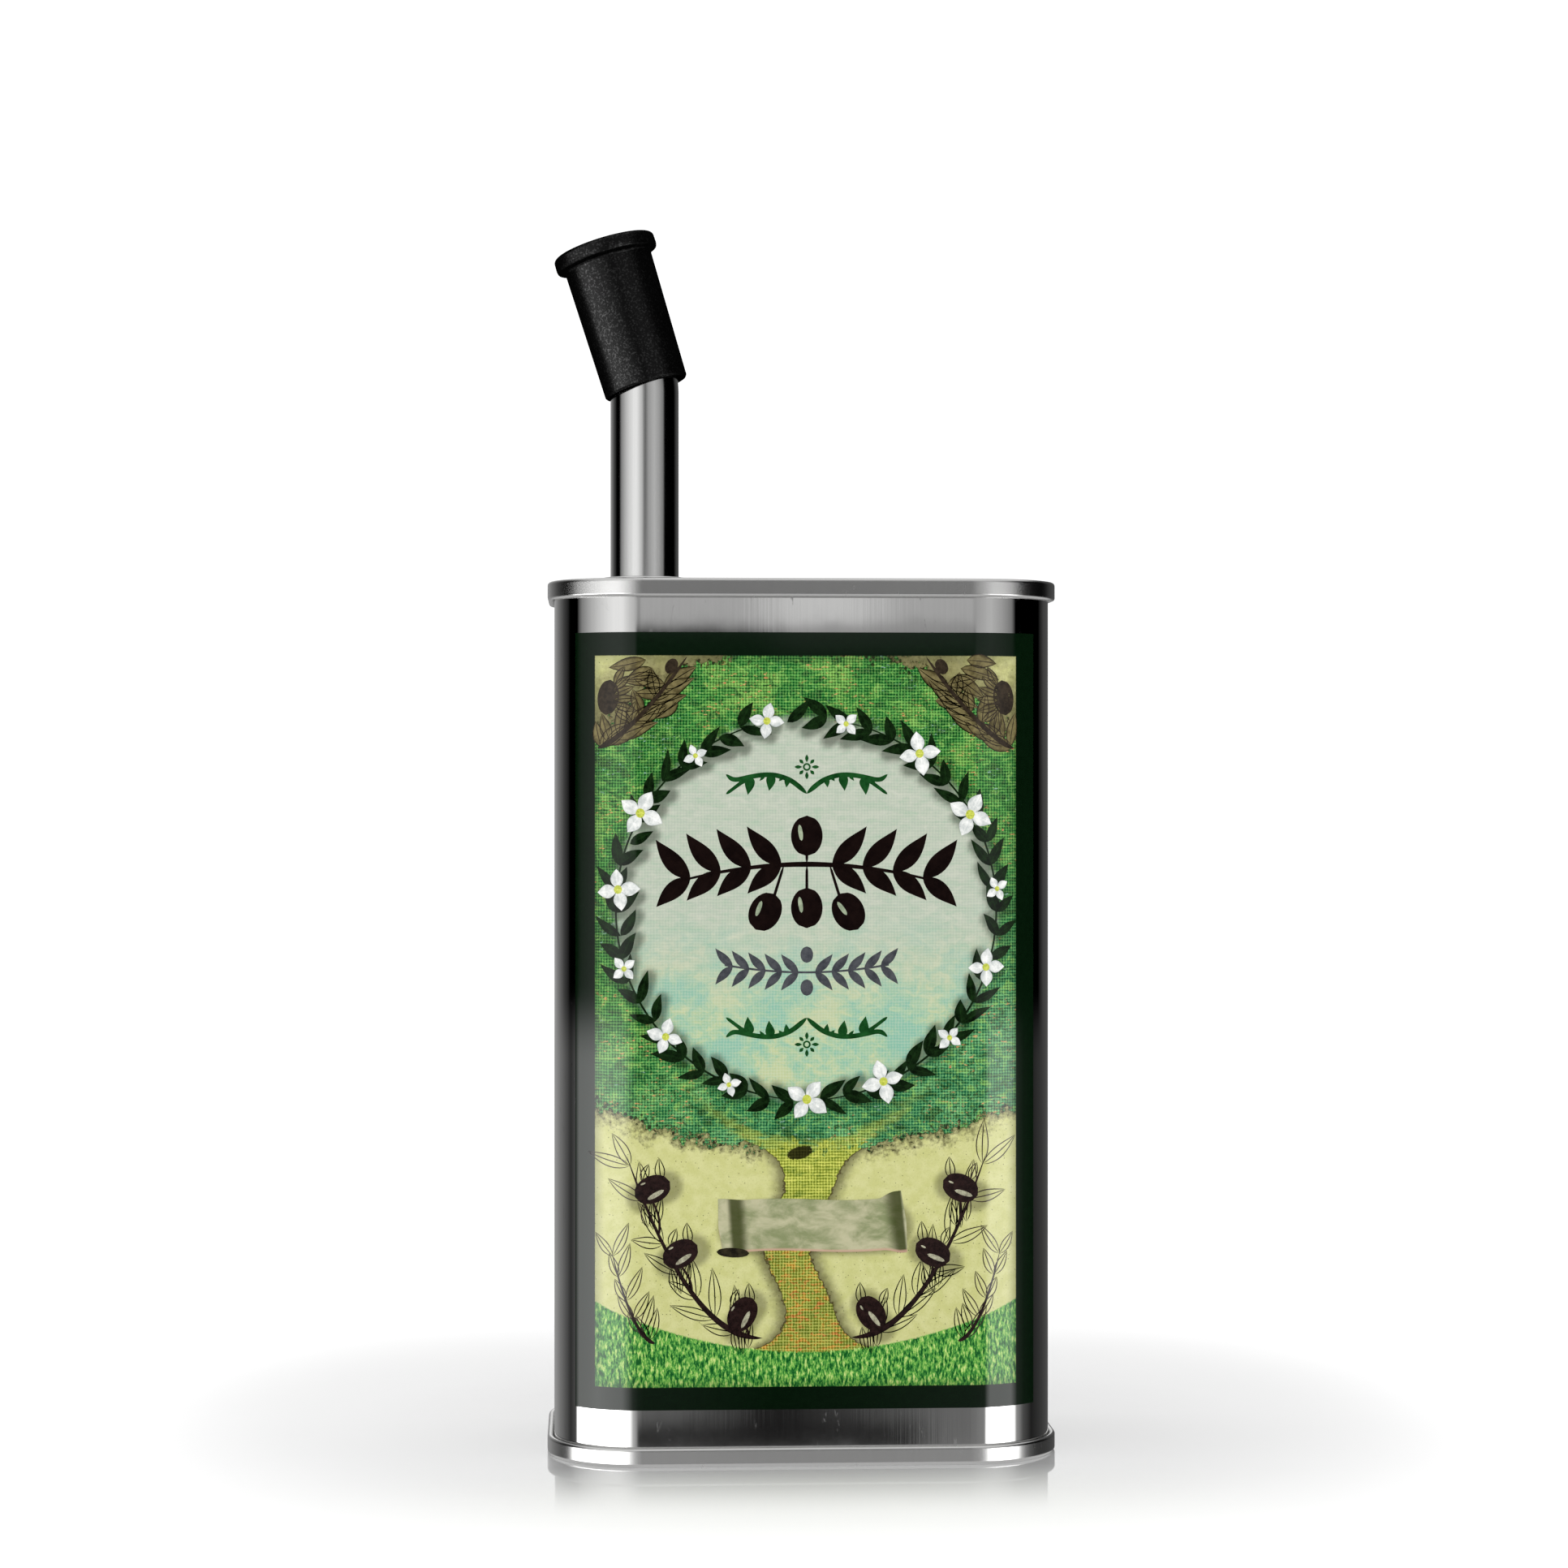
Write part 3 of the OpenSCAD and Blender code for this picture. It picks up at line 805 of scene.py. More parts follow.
def makeBottomEnd():
    plan = canPlan(48, 18)
    level = can["bottomRecess"] - can["sheet"] / 2
    points, normals = roundedPath(seamCorners(level), 6)
    seamPlace, seamLean = roundCan(points, normals, plan)
    middle = np.zeros_like(plan[0])
    panelPlace, panelLean = panelRows(bottomPanel, plan, middle, 70, 17.0)
    place = np.concatenate([seamPlace, panelPlace])
    lean = np.concatenate([seamLean, panelLean])
    points, normals = thickSheet(place, lean)
    rows = len(place)
    patches = [
        {"points": points[:rows], "normals": normals[:rows], "wrapColumns": True},
        {"points": points[rows:], "normals": normals[rows:], "wrapColumns": True},
        {"points": points[[0, -1]], "normals": normals[[0, -1]], "wrapColumns": True},
    ]
    piece, _ = buildMesh("bottomEnd", patches)
    dress(piece, "can", ["bottom_end"], "tinplate", tinplate)


def makeBody():
    # The wall with its flange hooked over at both ends
    hook, fold, wallS = bodyHook["reach"], bodyHook["fold"] - 0.001, -can["sheet"] / 2
    low = bodyHook["gap"] + can["sheet"] / 2
    hookTip = can["seamHeight"] - bodyHook["drop"]
    corners = [
        (hook, hookTip, 0),
        (hook, low, fold),
        (wallS, low, fold),
        (wallS, canHeight - low, fold),
        (hook, canHeight - low, fold),
        (hook, canHeight - hookTip, 0),
    ]
    points, normals = sheetPath(*roundedPath(corners, 5), can["sheet"])
    place, lean = roundCan(points, normals, canPlan(4, 24))
    patch = {"points": place, "normals": lean, "wrapRows": True, "wrapColumns": True}
    piece, _ = buildMesh("canBody", [patch])
    dress(piece, "can", ["can_body"], "tinplate", tinplate)


makeTopEnd()
makeBottomEnd()
makeBody()
print("can made")
for node in ("top_seam_seal", "bottom_seam_seal"):
    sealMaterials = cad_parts[node].data.materials
    sealMaterials.clear()
    sealMaterials.append(compoundPaint.material)

# The stopper's main sizes: heights above the base, and radii
stopper = {
    "bungZ": 138.6,
    "bungFlange": 0.8,
    "core": 7.3,
    "flange": 11.5,
    "flangeHeight": 1.4,
    "bore": 5.65,
    "low": 125.4,
}
ribs = {"count": 4, "root": 8.5, "pitch": 2.6, "low": 12.6, "flange": 11.0}
sealRing = {"down": 6.3, "middle": 0.56, "radius": 0.54, "grooveDepth": 1.1, "grooveHalf": 0.6}
tube = {"outer": 5.6, "inner": 5.0, "airOuter": 1.5, "airInner": 1.1, "airOffset": 3.48, "airShort": 3}


def makeStopper():
    bungZ, low, core, bore = stopper["bungZ"], stopper["low"], stopper["core"], stopper["bore"]
    collarZ = bungZ + stopper["bungFlange"]
    top = collarZ + stopper["flangeHeight"]
    groove = bungZ - sealRing["down"]
    deep, half = bore + sealRing["grooveDepth"], sealRing["grooveHalf"]
    collar = [
        (bore, low, 0.15),
        (core, low, 0.15),
        (core + 0.5, low + 0.6, 0.08),
        (core, low + 0.62, 0.05),
        (core, collarZ, 0.05),
        (stopper["flange"], collarZ, 0.2),
        (stopper["flange"], top, 0.5),
        (8.4, top, 0.25),
        (8.1, top - 0.25, 0.2),
        (7.5, top - 0.25, 0.2),
        (7.2, top, 0.2),
        (bore, top, 0.1),
        (bore, groove + half, 0.05),
        (deep, groove + half, 0.05),
        (deep, groove - half, 0.05),
        (bore, groove - half, 0.05),
    ]
    turned("pourerCollar", collar, "stopper", ["pourer_collar"], "stopper_plastic", collarPaint)
    sleeve, bottom, edge = core + 0.01, bungZ - ribs["low"], neck["radius"] - 0.1
    bung = [(sleeve, bottom, 0.01)]
    for i in range(ribs["count"]):
        z = bottom + i * ribs["pitch"]
        bung += [
            (ribs["root"], z + 0.02, 0.08),
            (edge, z + 0.8 * ribs["pitch"], 0.12),
            (ribs["root"], z + 0.92 * ribs["pitch"], 0.08),
        ]
    bung += [
        (ribs["root"], bungZ, 0.1),
        (ribs["flange"], bungZ, 0.2),
        (ribs["flange"], collarZ - 0.01, 0.2),
        (sleeve, collarZ - 0.01, 0.05),
    ]
    turned("ribbedBung", bung, "stopper", ["ribbed_bung"], "bung_rubber", bungPaint)
    middle, radius = bore + sealRing["middle"], sealRing["radius"]
    around = ((-1, -1), (1, -1), (1, 1), (-1, 1))
    square = [(middle + a * radius, groove + b * radius, radius * 0.999) for a, b in around]
    turned("spoutSeal", square, "stopper", ["spout_o_ring"], "seal_rubber", ringPaint)


def steelRing(name, node, low, reach, height, lowRound, highRound):
    inner, top = tube["outer"] - 0.01, low + height
    outline = [(inner, low, 0.05), (reach, low, lowRound), (reach, top, highRound), (inner, top, 0.05)]
    turned(name, outline, "spout", [node], "stainless_steel", stainless)


def makeSpout():
    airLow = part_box("air_tube")[0].z / mm
    wall = (tube["outer"], tube["inner"], 0.0)
    steel, _ = buildMesh("spoutTube", [tubeAlong(*wall, spout["low"], spout["tip"], columns=128)])
    dress(steel, "spout", ["spout_tube"], "stainless_steel", stainless)
    airWall = (tube["airOuter"], tube["airInner"], tube["airOffset"])
    air, _ = buildMesh("airTube", [tubeAlong(*airWall, airLow, spout["tip"] - tube["airShort"], columns=48)])
    dress(air, "spout", ["air_tube"], "stainless_steel", stainless)
    stopZ = stopper["bungZ"] + stopper["bungFlange"] + stopper["flangeHeight"] + 0.05
    steelRing("stopRing", "stop_ring", stopZ, 7.1, 0.8, 0.15, 0.3)
    steelRing("retainingRing", "retaining_ring", stopper["low"] - 1.1, 7.0, 1.0, 0.2, 0.2)


# The cap along the spout's tip: heights from the bend, and radii
cap = {"back": -1.1, "top": 23.5, "flange": 2.4, "bore": 5.65, "relief": 6.25, "depth": 18.3, "liner": 17.3}


def makeCap():
    # A blind sleeve with a flange at its closed end, a gate mark in the middle of the end face
    back, top, bore, relief = cap["back"], cap["top"], cap["bore"], cap["relief"]
    flangeZ = top - cap["flange"]
    outline = [
        (0.0, cap["depth"], 0),
        (bore, cap["depth"], 0.1),
        (bore, 3.2, 0.1),
        (relief, 2.9, 0.1),
        (relief, back, 0.12),
        (6.72, back, 0.14),
        (6.95, back + 0.35, 0.25),
        (7.3, flangeZ - 0.5, 0.5),
        (8.42, flangeZ - 0.05, 0.28),
        (8.55, flangeZ + 0.5, 0.4),
        (8.5, top - 0.15, 0.6),
        (7.0, top, 0.6),
        (6.6, top - 0.22, 0.3),
        (1.5, top - 0.22, 0.2),
        (1.3, top - 0.02, 0.15),
        (0.0, top - 0.02, 0),
    ]
    turned("spoutCap", outline, "cap", ["spout_cap"], "cap_plastic", capPaint, True, 6, 160, False)
    low, high, reach = cap["liner"], cap["depth"] - 0.02, bore - 0.05
    liner = [(0.0, low, 0), (reach, low, 0.15), (reach, high, 0.15), (0.0, high, 0)]
    turned("capLiner", liner, "cap", ["cap_liner"], "liner_plastic", foamPaint, True, 3, 64, False)


makeStopper()
makeSpout()
makeCap()
print("spout made")

# The printed label and what is painted on it, in millimetres across the front (u) and up (z)
label = {
    "halfWidth": 37.85,
    "low": labelLow,
    "high": labelHigh,
    "thick": 0.12,
    "glue": 0.004,
    "gridStep": 0.6,
    "artHalf": 33.8,
    "artMiddle": 70.3,
    "artHalfHeight": 57.8,
    "threadPitch": 0.47,
    "tone": 0.9,
    "mapWidth": 100.0,
    "mapHeight": 150.0,
}
medal = {"z": 88.0, "edge": (31.2, 29.4), "halo": (26.5, 30.0), "ring": 31.0}
crown = {"z": 84.0, "radius": 46.0, "foot": 50.2, "sag": 6.5}
trunk = {"half": 3.6, "bend": 4.1, "bendZ": 34.5, "bendSpan": 7.0, "widest": 19.0, "top": 62.0}
trunkRoots = {"half": 7.0, "z": 18.0, "span": 2.0}
trunkFork = {"half": 4.9, "z": 50.5, "span": 2.4}
hollow = {"u": -1.1, "z": 49.7, "half": 2.1, "halfHeight": 1.05}
lawn = {"z": 18.0, "sag": 8.0}


def wrapLabel(u, z, rise):
    # u runs along the can's face from the middle of its front; past the flat it follows the corner's arc,
    # x = flat + r sin t, y = -r cos t. Gives places in metres and outward normals
    side = np.sign(u)
    flat = np.minimum(np.abs(u), can["flatX"])
    turn = (np.abs(u) - flat) / can["cornerRadius"]
    radius = can["cornerRadius"] + rise
    x = side * (flat + radius * np.sin(turn))
    y = -can["flatY"] - radius * np.cos(turn)
    normals = np.stack([side * np.sin(turn), -np.cos(turn), np.zeros_like(turn)], -1)
    return np.stack([x, y, z + 0 * x], -1) * mm, normals


def segmentShade(u, z, starts, ends, radii, soft):
    # One beside any of the thick strokes from starts to ends, fading to nothing over soft
    cover = np.zeros(u.shape)
    for start, end, radius in zip(starts, ends, radii):
        along = end - start
        t = ((u - start[0]) * along[0] + (z - start[1]) * along[1]) / max(along @ along, 1e-9)
        t = np.clip(t, 0, 1)
        gap = np.hypot(u - start[0] - t * along[0], z - start[1] - t * along[1]) - radius
        cover = np.maximum(cover, 1 - np.clip(gap / soft, 0, 1))
    return cover * cover * (3 - 2 * cover)


def leafShapes(feet, headings, lengths, widths, bow=0.0, rows=9, blunt=0.85):
    # Leaves from their feet, headings in degrees from +u anticlockwise:
    # foot + s * length * ahead + bow * length * s(1 - s) * side, half as wide as widths * sin(pi * s^blunt)
    feet = np.asarray(feet, float)
    given = (headings, lengths, widths, bow)
    headings, lengths, widths, bow = (np.broadcast_to(part, len(feet)).astype(float) for part in given)
    turn = np.radians(headings)
    s = np.linspace(0, 1, rows)
    ahead = np.stack([np.cos(turn), np.sin(turn)], -1)
    side = np.stack([-np.sin(turn), np.cos(turn)], -1)
    run = (s * lengths[:, None])[..., None] * ahead[:, None]
    bend = ((s * (1 - s)) * (bow * lengths)[:, None])[..., None] * side[:, None]
    return feet[:, None] + run + bend, widths[:, None] / 2 * np.abs(np.sin(np.pi * s ** blunt))


def strokeShape(points, width, taper=0.5):
    # A pen stroke through the points, thinner towards its ends by the share taper
    points = np.asarray(points, float)
    s = np.linspace(0, 1, len(points))
    body = np.clip(np.minimum(s, 1 - s) / 0.12, 0, 1) ** 0.5
    return points[None], (width / 2 * body * (1 - taper * s))[None]


def sideways(lines):
    # The direction to the left of each point of each line
    ahead = np.gradient(lines, axis=1)
    ahead /= np.maximum(np.linalg.norm(ahead, axis=-1, keepdims=True), 1e-9)
    return np.stack([-ahead[..., 1], ahead[..., 0]], -1)


def outlineShapes(lines, halves, width):
    # The drawn outline and midrib of leaves given by their middle lines and half widths
    side = sideways(lines)
    made = np.concatenate([lines + side * halves[..., None] * k for k in (-1, 1, 0)])
    taper = np.clip(np.sin(np.pi * np.linspace(0, 1, lines.shape[1])), 0.0, 1) ** 0.4
    return made, np.broadcast_to(width / 2 * taper, made.shape[:2])


def inkPiece(name, shapes, rise, thick, paint, across=3):
    # Printed shapes as thin closed strips on the label: each is its middle line, widened sideways by its half
    # width, with a top that swells by thick * (1 - t^4) and a flat underside
    t = np.linspace(-1, 1, across)
    loop = np.concatenate([t, t[::-1]])
    lift = np.concatenate([rise + thick * (1 - t ** 4), np.full(across, rise)])
    sign = np.concatenate([np.ones(across), -np.ones(across)])
    patches = []
    for lines, halves in shapes:
        side = sideways(lines)
        flat = lines[:, :, None] + side[:, :, None] * halves[:, :, None, None] * loop[:, None]
        place, lean = wrapLabel(flat[..., 0], flat[..., 1], label["thick"] + lift)
        s = np.broadcast_to(np.linspace(0, 1, lines.shape[1])[:, None], flat.shape[1:3])
        strip = np.stack([np.broadcast_to(loop * 0.5 + 0.5, s.shape), s], -1)
        for spots, normals in zip(place, lean * sign[:, None]):
            patches.append({"points": spots, "normals": normals, "wrapColumns": True, "map": strip})
    piece, _ = buildMesh(name, patches)
    dress(piece, "can", [], "label_print", paint)


def varnished(name):
    # Print under a clear varnish
    return Paint(name, rough=0.6, gloss=0.0, coat=0.62, coatRough=0.04)


def inkPaint(name, dark, light, midrib=0.0, speckle=260, edge=0.0):
    # Ink that is darker or lighter by a fine mottle, along the midrib and towards the edges
    paint = varnished(name)
    across, along, _ = paint.split(paint.printed())
    off = paint.absolute(across - 0.5) * 2.0
    mottle = paint.grain(speckle, 4.0, 0.7)
    rib = paint.smooth(off, 0.0, 0.22, midrib, 0.0)
    rim = paint.smooth(off, 0.55, 1.0, 0.0, edge)
    share = paint.smooth(mottle, 0.3, 0.7) * 0.75 + rib - rim + 0.15 * along
    paint.drive(color=paint.mix(paint.node("Clamp", inputs={"Value": share}), dark, light))
    return paint


# The wreath: two boughs that rise from the bottom of the ring, with leaves in pairs and blossoms at even steps
wreath = {
    "radius": 30.2,
    "pairs": 25,
    "missing": 0.06,
    "length": (3.8, 5.4),
    "width": 1.75,
    "spread": 34.0,
    "blossoms": 15,
    "spans": (6.7, 3.6, 5.4, 3.9, 6.2),
    "stem": 0.34,
}


def ringPoint(angle, radius):
    # Angles in degrees clockwise from the top of the medallion
    turn = np.radians(angle)
    return np.stack([radius * np.sin(turn), medal["z"] + radius * np.cos(turn)], -1)


def makeWreath():
    # Gives the leaves and blossoms as thick strokes, for the shade painted beside them
    feet, headings, lengths, stems = [], [], [], []
    for side in (-1, 1):
        rise = np.linspace(176, 6, wreath["pairs"]) * side
        stem = ringPoint(np.linspace(177, 8, 120) * side, wreath["radius"])
        stems.append(strokeShape(stem, wreath["stem"], 0.2))
        base = ringPoint(rise, wreath["radius"] + 0.5 * np.sin(rise * 0.21))
        travel = -rise + (180 if side > 0 else 0)  # heading along the bough, towards the top
        for hand in (-1, 1):
            keep = luck.random(len(rise)) > wreath["missing"]
            feet.append(base[keep])
            headings.append((travel + hand * wreath["spread"] + luck.uniform(-14, 14, len(rise)))[keep])
            lengths.append(luck.uniform(*wreath["length"], len(rise))[keep])
    feet, headings, lengths = (np.concatenate(part) for part in (feet, headings, lengths))
    widths = wreath["width"] * luck.uniform(0.8, 1.15, len(feet))
    leaves = leafShapes(feet, headings, lengths, widths, luck.uniform(-0.25, 0.25, len(feet)), 9, 0.75)
    green = inkPaint("leafInk", shade(2, 9, 2), shade(22, 46, 18), 0.3, 700)
    inkPiece("wreathStems", stems, 0.004, 0.012, green)
    inkPiece("wreathLeaves", [leaves], 0.012, 0.03, green)
    lines, halves = leaves
    strokes = [(lines[:, 1], lines[:, -2], halves.max(1) * 0.75)]
    angles = np.arange(wreath["blossoms"]) * 360 / wreath["blossoms"] + 180
    spans = np.array(wreath["spans"])[np.arange(len(angles)) % len(wreath["spans"])]
    hearts = ringPoint(angles, wreath["radius"] + 0.4 * np.cos(angles * 1.7))
    turns, reaches = [], []
    for k in range(4):
        turns.append(angles * 2.3 + k * 90 + luck.uniform(-6, 6, len(angles)))
        reaches.append(spans / 2 * luck.uniform(0.95, 1.1, len(angles)))
    turns, reaches = np.concatenate(turns), np.concatenate(reaches)
    petals = leafShapes(np.tile(hearts, (4, 1)), turns, reaches * 1.08, reaches * 0.68, 0.08, 13, 1.0)
    white = inkPaint("petalInk", shade(186, 192, 190), shade(250, 250, 246), 0.2, 900, 0.3)
    inkPiece("blossomPetals", [petals], 0.045, 0.03, white, 5)
    dots, _ = leafShapes(hearts - np.stack([spans * 0.11, 0 * spans], -1), 0, spans * 0.22, 1.0, 0, 9)
    dome = np.sqrt(np.clip(1 - np.linspace(-1, 1, 9) ** 2, 0, 1))
    yellow = inkPaint("heartInk", shade(150, 164, 40), shade(222, 226, 110), 0.3, 2600)
    inkPiece("blossomHearts", [(dots, (spans * 0.11)[:, None] * dome)], 0.08, 0.02, yellow, 5)
    strokes.append((hearts, hearts + 0.01, spans * 0.3))
    return [np.concatenate(part) for part in zip(*strokes)]


# Two mirrored scrolls with a rosette each, above and below the middle motif. The line of each arm and tail,
# and the feet of the leaves on it, are shares of the scroll's half width and of its rise
scroll = {
    "heights": (108.2, 68.9),
    "halfWidth": 12.8,
    "rise": 1.75,
    "thick": 0.8,
    "arm": (
        (0, -1.1), (0.08, -0.55), (0.2, 0.15), (0.38, 0.6), (0.55, 0.62), (0.72, 0.4), (0.86, 0.15),
        (0.93, 0.2), (1.0, 0.65),
    ),
    "tail": ((0.66, 0.45), (0.8, -0.05), (0.9, -0.6), (1.0, -1.15)),
    "lobes": ((0.24, 0.3), (0.44, 0.62), (0.7, 0.42)),
    "barbs": ((0.3, 0.42), (0.52, 0.62), (0.79, 0.2)),
    "rosette": {"up": 2.3, "rays": 8, "root": 0.72, "ring": 0.48, "ringHalf": 0.14},
}


def flowing(knots, count=48):
    # A soft line through a few knots (x, y)
    knots = np.asarray(knots, float)
    at = np.linspace(0, len(knots) - 1, count)
    line = np.stack([np.interp(at, np.arange(len(knots)), knots[:, i]) for i in (0, 1)], -1)
    for _ in range(6):
        line[1:-1] = (line[:-2] + 2 * line[1:-1] + line[2:]) / 4
    return line


def makeScrolls():
    shapes = []
    rosette = scroll["rosette"]
    for height, up in zip(scroll["heights"], (1, -1)):
        low = np.array([0.0, height])
        for side in (-1, 1):
            size = np.array([side * scroll["halfWidth"], up * scroll["rise"]])
            arm, tail = flowing(scroll["arm"]), flowing(scroll["tail"], 24)
            lobes, barbs = np.array(scroll["lobes"]), np.array(scroll["barbs"])
            shapes.append(strokeShape(arm * size + low, scroll["thick"], 0.1))
            shapes.append(strokeShape(tail * size + low, scroll["thick"] * 0.85, 0.3))
            feet, heading = lobes * size + low, -90 * up + side * up * 8
            shapes.append(leafShapes(feet, heading, (1.5, 2.6, 2.9), (0.9, 1.5, 1.6), 0.1, 11, 0.6))
            feet, heading = barbs * size + low, -90 * up + side * up * 40
            shapes.append(leafShapes(feet, heading, (0.9, 1.3, 1.4), 0.55, 0.1, 7, 0.7))
        heart = np.array([0.0, height + up * rosette["up"]])
        number = np.arange(rosette["rays"])
        rays = number * 360.0 / rosette["rays"]
        feet = heart + rosette["root"] * np.stack([np.cos(np.radians(rays)), np.sin(np.radians(rays))], -1)
        shapes.append(leafShapes(feet, rays, np.where(number % 2 == 0, 1.25, 0.95), 0.55, 0, 7, 1.1))
        loop = np.linspace(0, 6.4, 25)  # a little over a full turn, so that the ring's ends overlap
        ring = heart + rosette["ring"] * np.stack([np.cos(loop), np.sin(loop)], -1)
        shapes.append((ring[None], np.full((1, len(loop)), rosette["ringHalf"])))
    green = inkPaint("scrollInk", shade(8, 50, 16), shade(30, 84, 38), 0.1, 500)
    inkPiece("scrollOrnaments", shapes, 0.004, 0.02, green)


def olive(centre, length, width, lean, rows=15):
    # An oval as a strip: its half width is the circle's, squashed
    t = np.linspace(-1, 1, rows)
    turn = math.radians(lean)
    line = np.asarray(centre) + (t * length / 2)[:, None] * np.array([math.cos(turn), math.sin(turn)])
    return line[None], (width / 2 * np.sqrt(np.clip(1 - t ** 2, 0, 1)))[None]


# The middle motif: a bough with olives, and a smaller one beneath it. Each bough is (height, half width, bow,
# lift), its leaves are (turn, length, width, bow), and its olives are (u, z, lean)
motif = {
    "high": (94.0, 20.0, 2.6, -1.5),
    "highAt": (-0.92, -0.68, -0.44, -0.2, 0.2, 0.44, 0.68, 0.92),
    "highLeaves": ((48, 8.2, 2.9, -0.16), (-40, 8.2 * 0.86, 2.7, 0.16)),
    "olives": ((0.0, 99.6, 90), (-6.6, 87.6, 62), (6.6, 87.6, 118), (0.0, 88.2, 90)),
    "olive": (6.4, 5.0),
    "stalkZ": 95.2,
    "low": (78.6, 13.0, -1.2, 0.6),
    "lowLeaves": ((46, 4.0, 1.35, -0.15), (-46, 4.0, 1.35, 0.15)),
    "lowOlives": (80.8, 75.6),
    "lowOlive": (2.6, 2.0),
}


def archLine(t, height, half, bow, lift):
    # A shallow arch, t from -1 to 1: (t * half, height + bow * (1 - t^2) + lift)
    return np.stack([t * half, height + bow * (1 - t ** 2) + lift], -1)


def archLeaves(at, arch, leaves, rows):
    # Leaves above and below an arch, which lean outward from its middle
    outward, tilt = np.where(at > 0, 0.0, 180.0), np.where(at > 0, 1.0, -1.0)
    feet = archLine(at, *arch)
    return [
        leafShapes(feet, outward + turn * tilt, length, width, bow * tilt, rows, 0.8)
        for turn, length, width, bow in leaves
    ]


def makeMotif():
    t = np.linspace(-1, 1, 60)
    shapes, shine = [(archLine(t, *motif["high"])[None], (0.42 - 0.26 * np.abs(t))[None])], []
    shapes += archLeaves(np.array(motif["highAt"]), motif["high"], motif["highLeaves"], 13)
    for x, z, lean in motif["olives"]:
        shapes.append(olive((x, z), *motif["olive"], lean))
        shine.append(olive((x - 1.0, z + 0.5), 2.6, 0.7, lean + 8, 11))
        stalk = [(x * (0.9 - 0.06 * i), z + (motif["stalkZ"] - z) * i / 6) for i in range(7)]
        shapes.append(strokeShape(stalk, 0.5, 0.2))
    black = inkPaint("motifInk", shade(11, 5, 5), shade(24, 14, 12), 0.1, 600)
    inkPiece("middleMotif", shapes, 0.004, 0.03, black, 5)
    pale = inkPaint("shineInk", shade(120, 134, 110), shade(176, 188, 160), 0.0, 900)
    inkPiece("middleShine", shine, 0.034, 0.01, pale)
    low = [(archLine(t, *motif["low"])[None], np.full((1, len(t)), 0.16))]
    low += archLeaves(np.linspace(-0.9, 0.9, 10), motif["low"], motif["lowLeaves"], 9)
    low += [olive((0, z), *motif["lowOlive"], 90) for z in motif["lowOlives"]]
    slate = inkPaint("slateInk", shade(52, 54, 60), shade(84, 86, 90), 0.1, 900)
    inkPiece("lowerMotif", low, 0.004, 0.02, slate)


def sprigs(feet, side, turns, lengths, width, bow, rows):
    # Leaves that grow upward, turned towards a side and as long as chance has it, each within two limits
    headings = 90 + side * luck.uniform(*turns, len(feet))
    return leafShapes(feet, headings, luck.uniform(*lengths, len(feet)), width, bow, rows, 0.8)


# Boughs of olives either side of the trunk, in brown-black ink with outlined leaves. Each set of leaves is
# (side, turns, lengths, width, bow, rows), at the places along the bough that are counted before it
boughs = {
    "olives": ((-24.4, 43.8, 24), (-20.0, 33.6, 28), (-10.2, 24.0, 58)),
    "size": (6.0, 4.3),
    "pen": 0.17,
    "nearAt": [8, 16, 24, 32, 40, 50, 57],
    "near": ((-1, (-4, 34), (5.5, 8.5), 1.9, 0.1, 11), (-1, (50, 84), (5.0, 8.0), 1.8, -0.1, 11)),
    "farAt": [6, 14, 22, 30, 38, 44],
    "far": ((1, (12, 34), (4.5, 6.5), 1.5, 0.1, 9), (-1, (20, 40), (3.5, 5.0), 1.4, -0.1, 9)),
    "leavesAbove": {"turn": (96, 70), "length": (3.6, 3.0), "width": (1.5, 1.3)},
    "leavesBelow": {"turn": (82, 101, 92), "length": (4.4, 4.0, 5.0), "width": (1.2, 1.2, 0.9)},
}


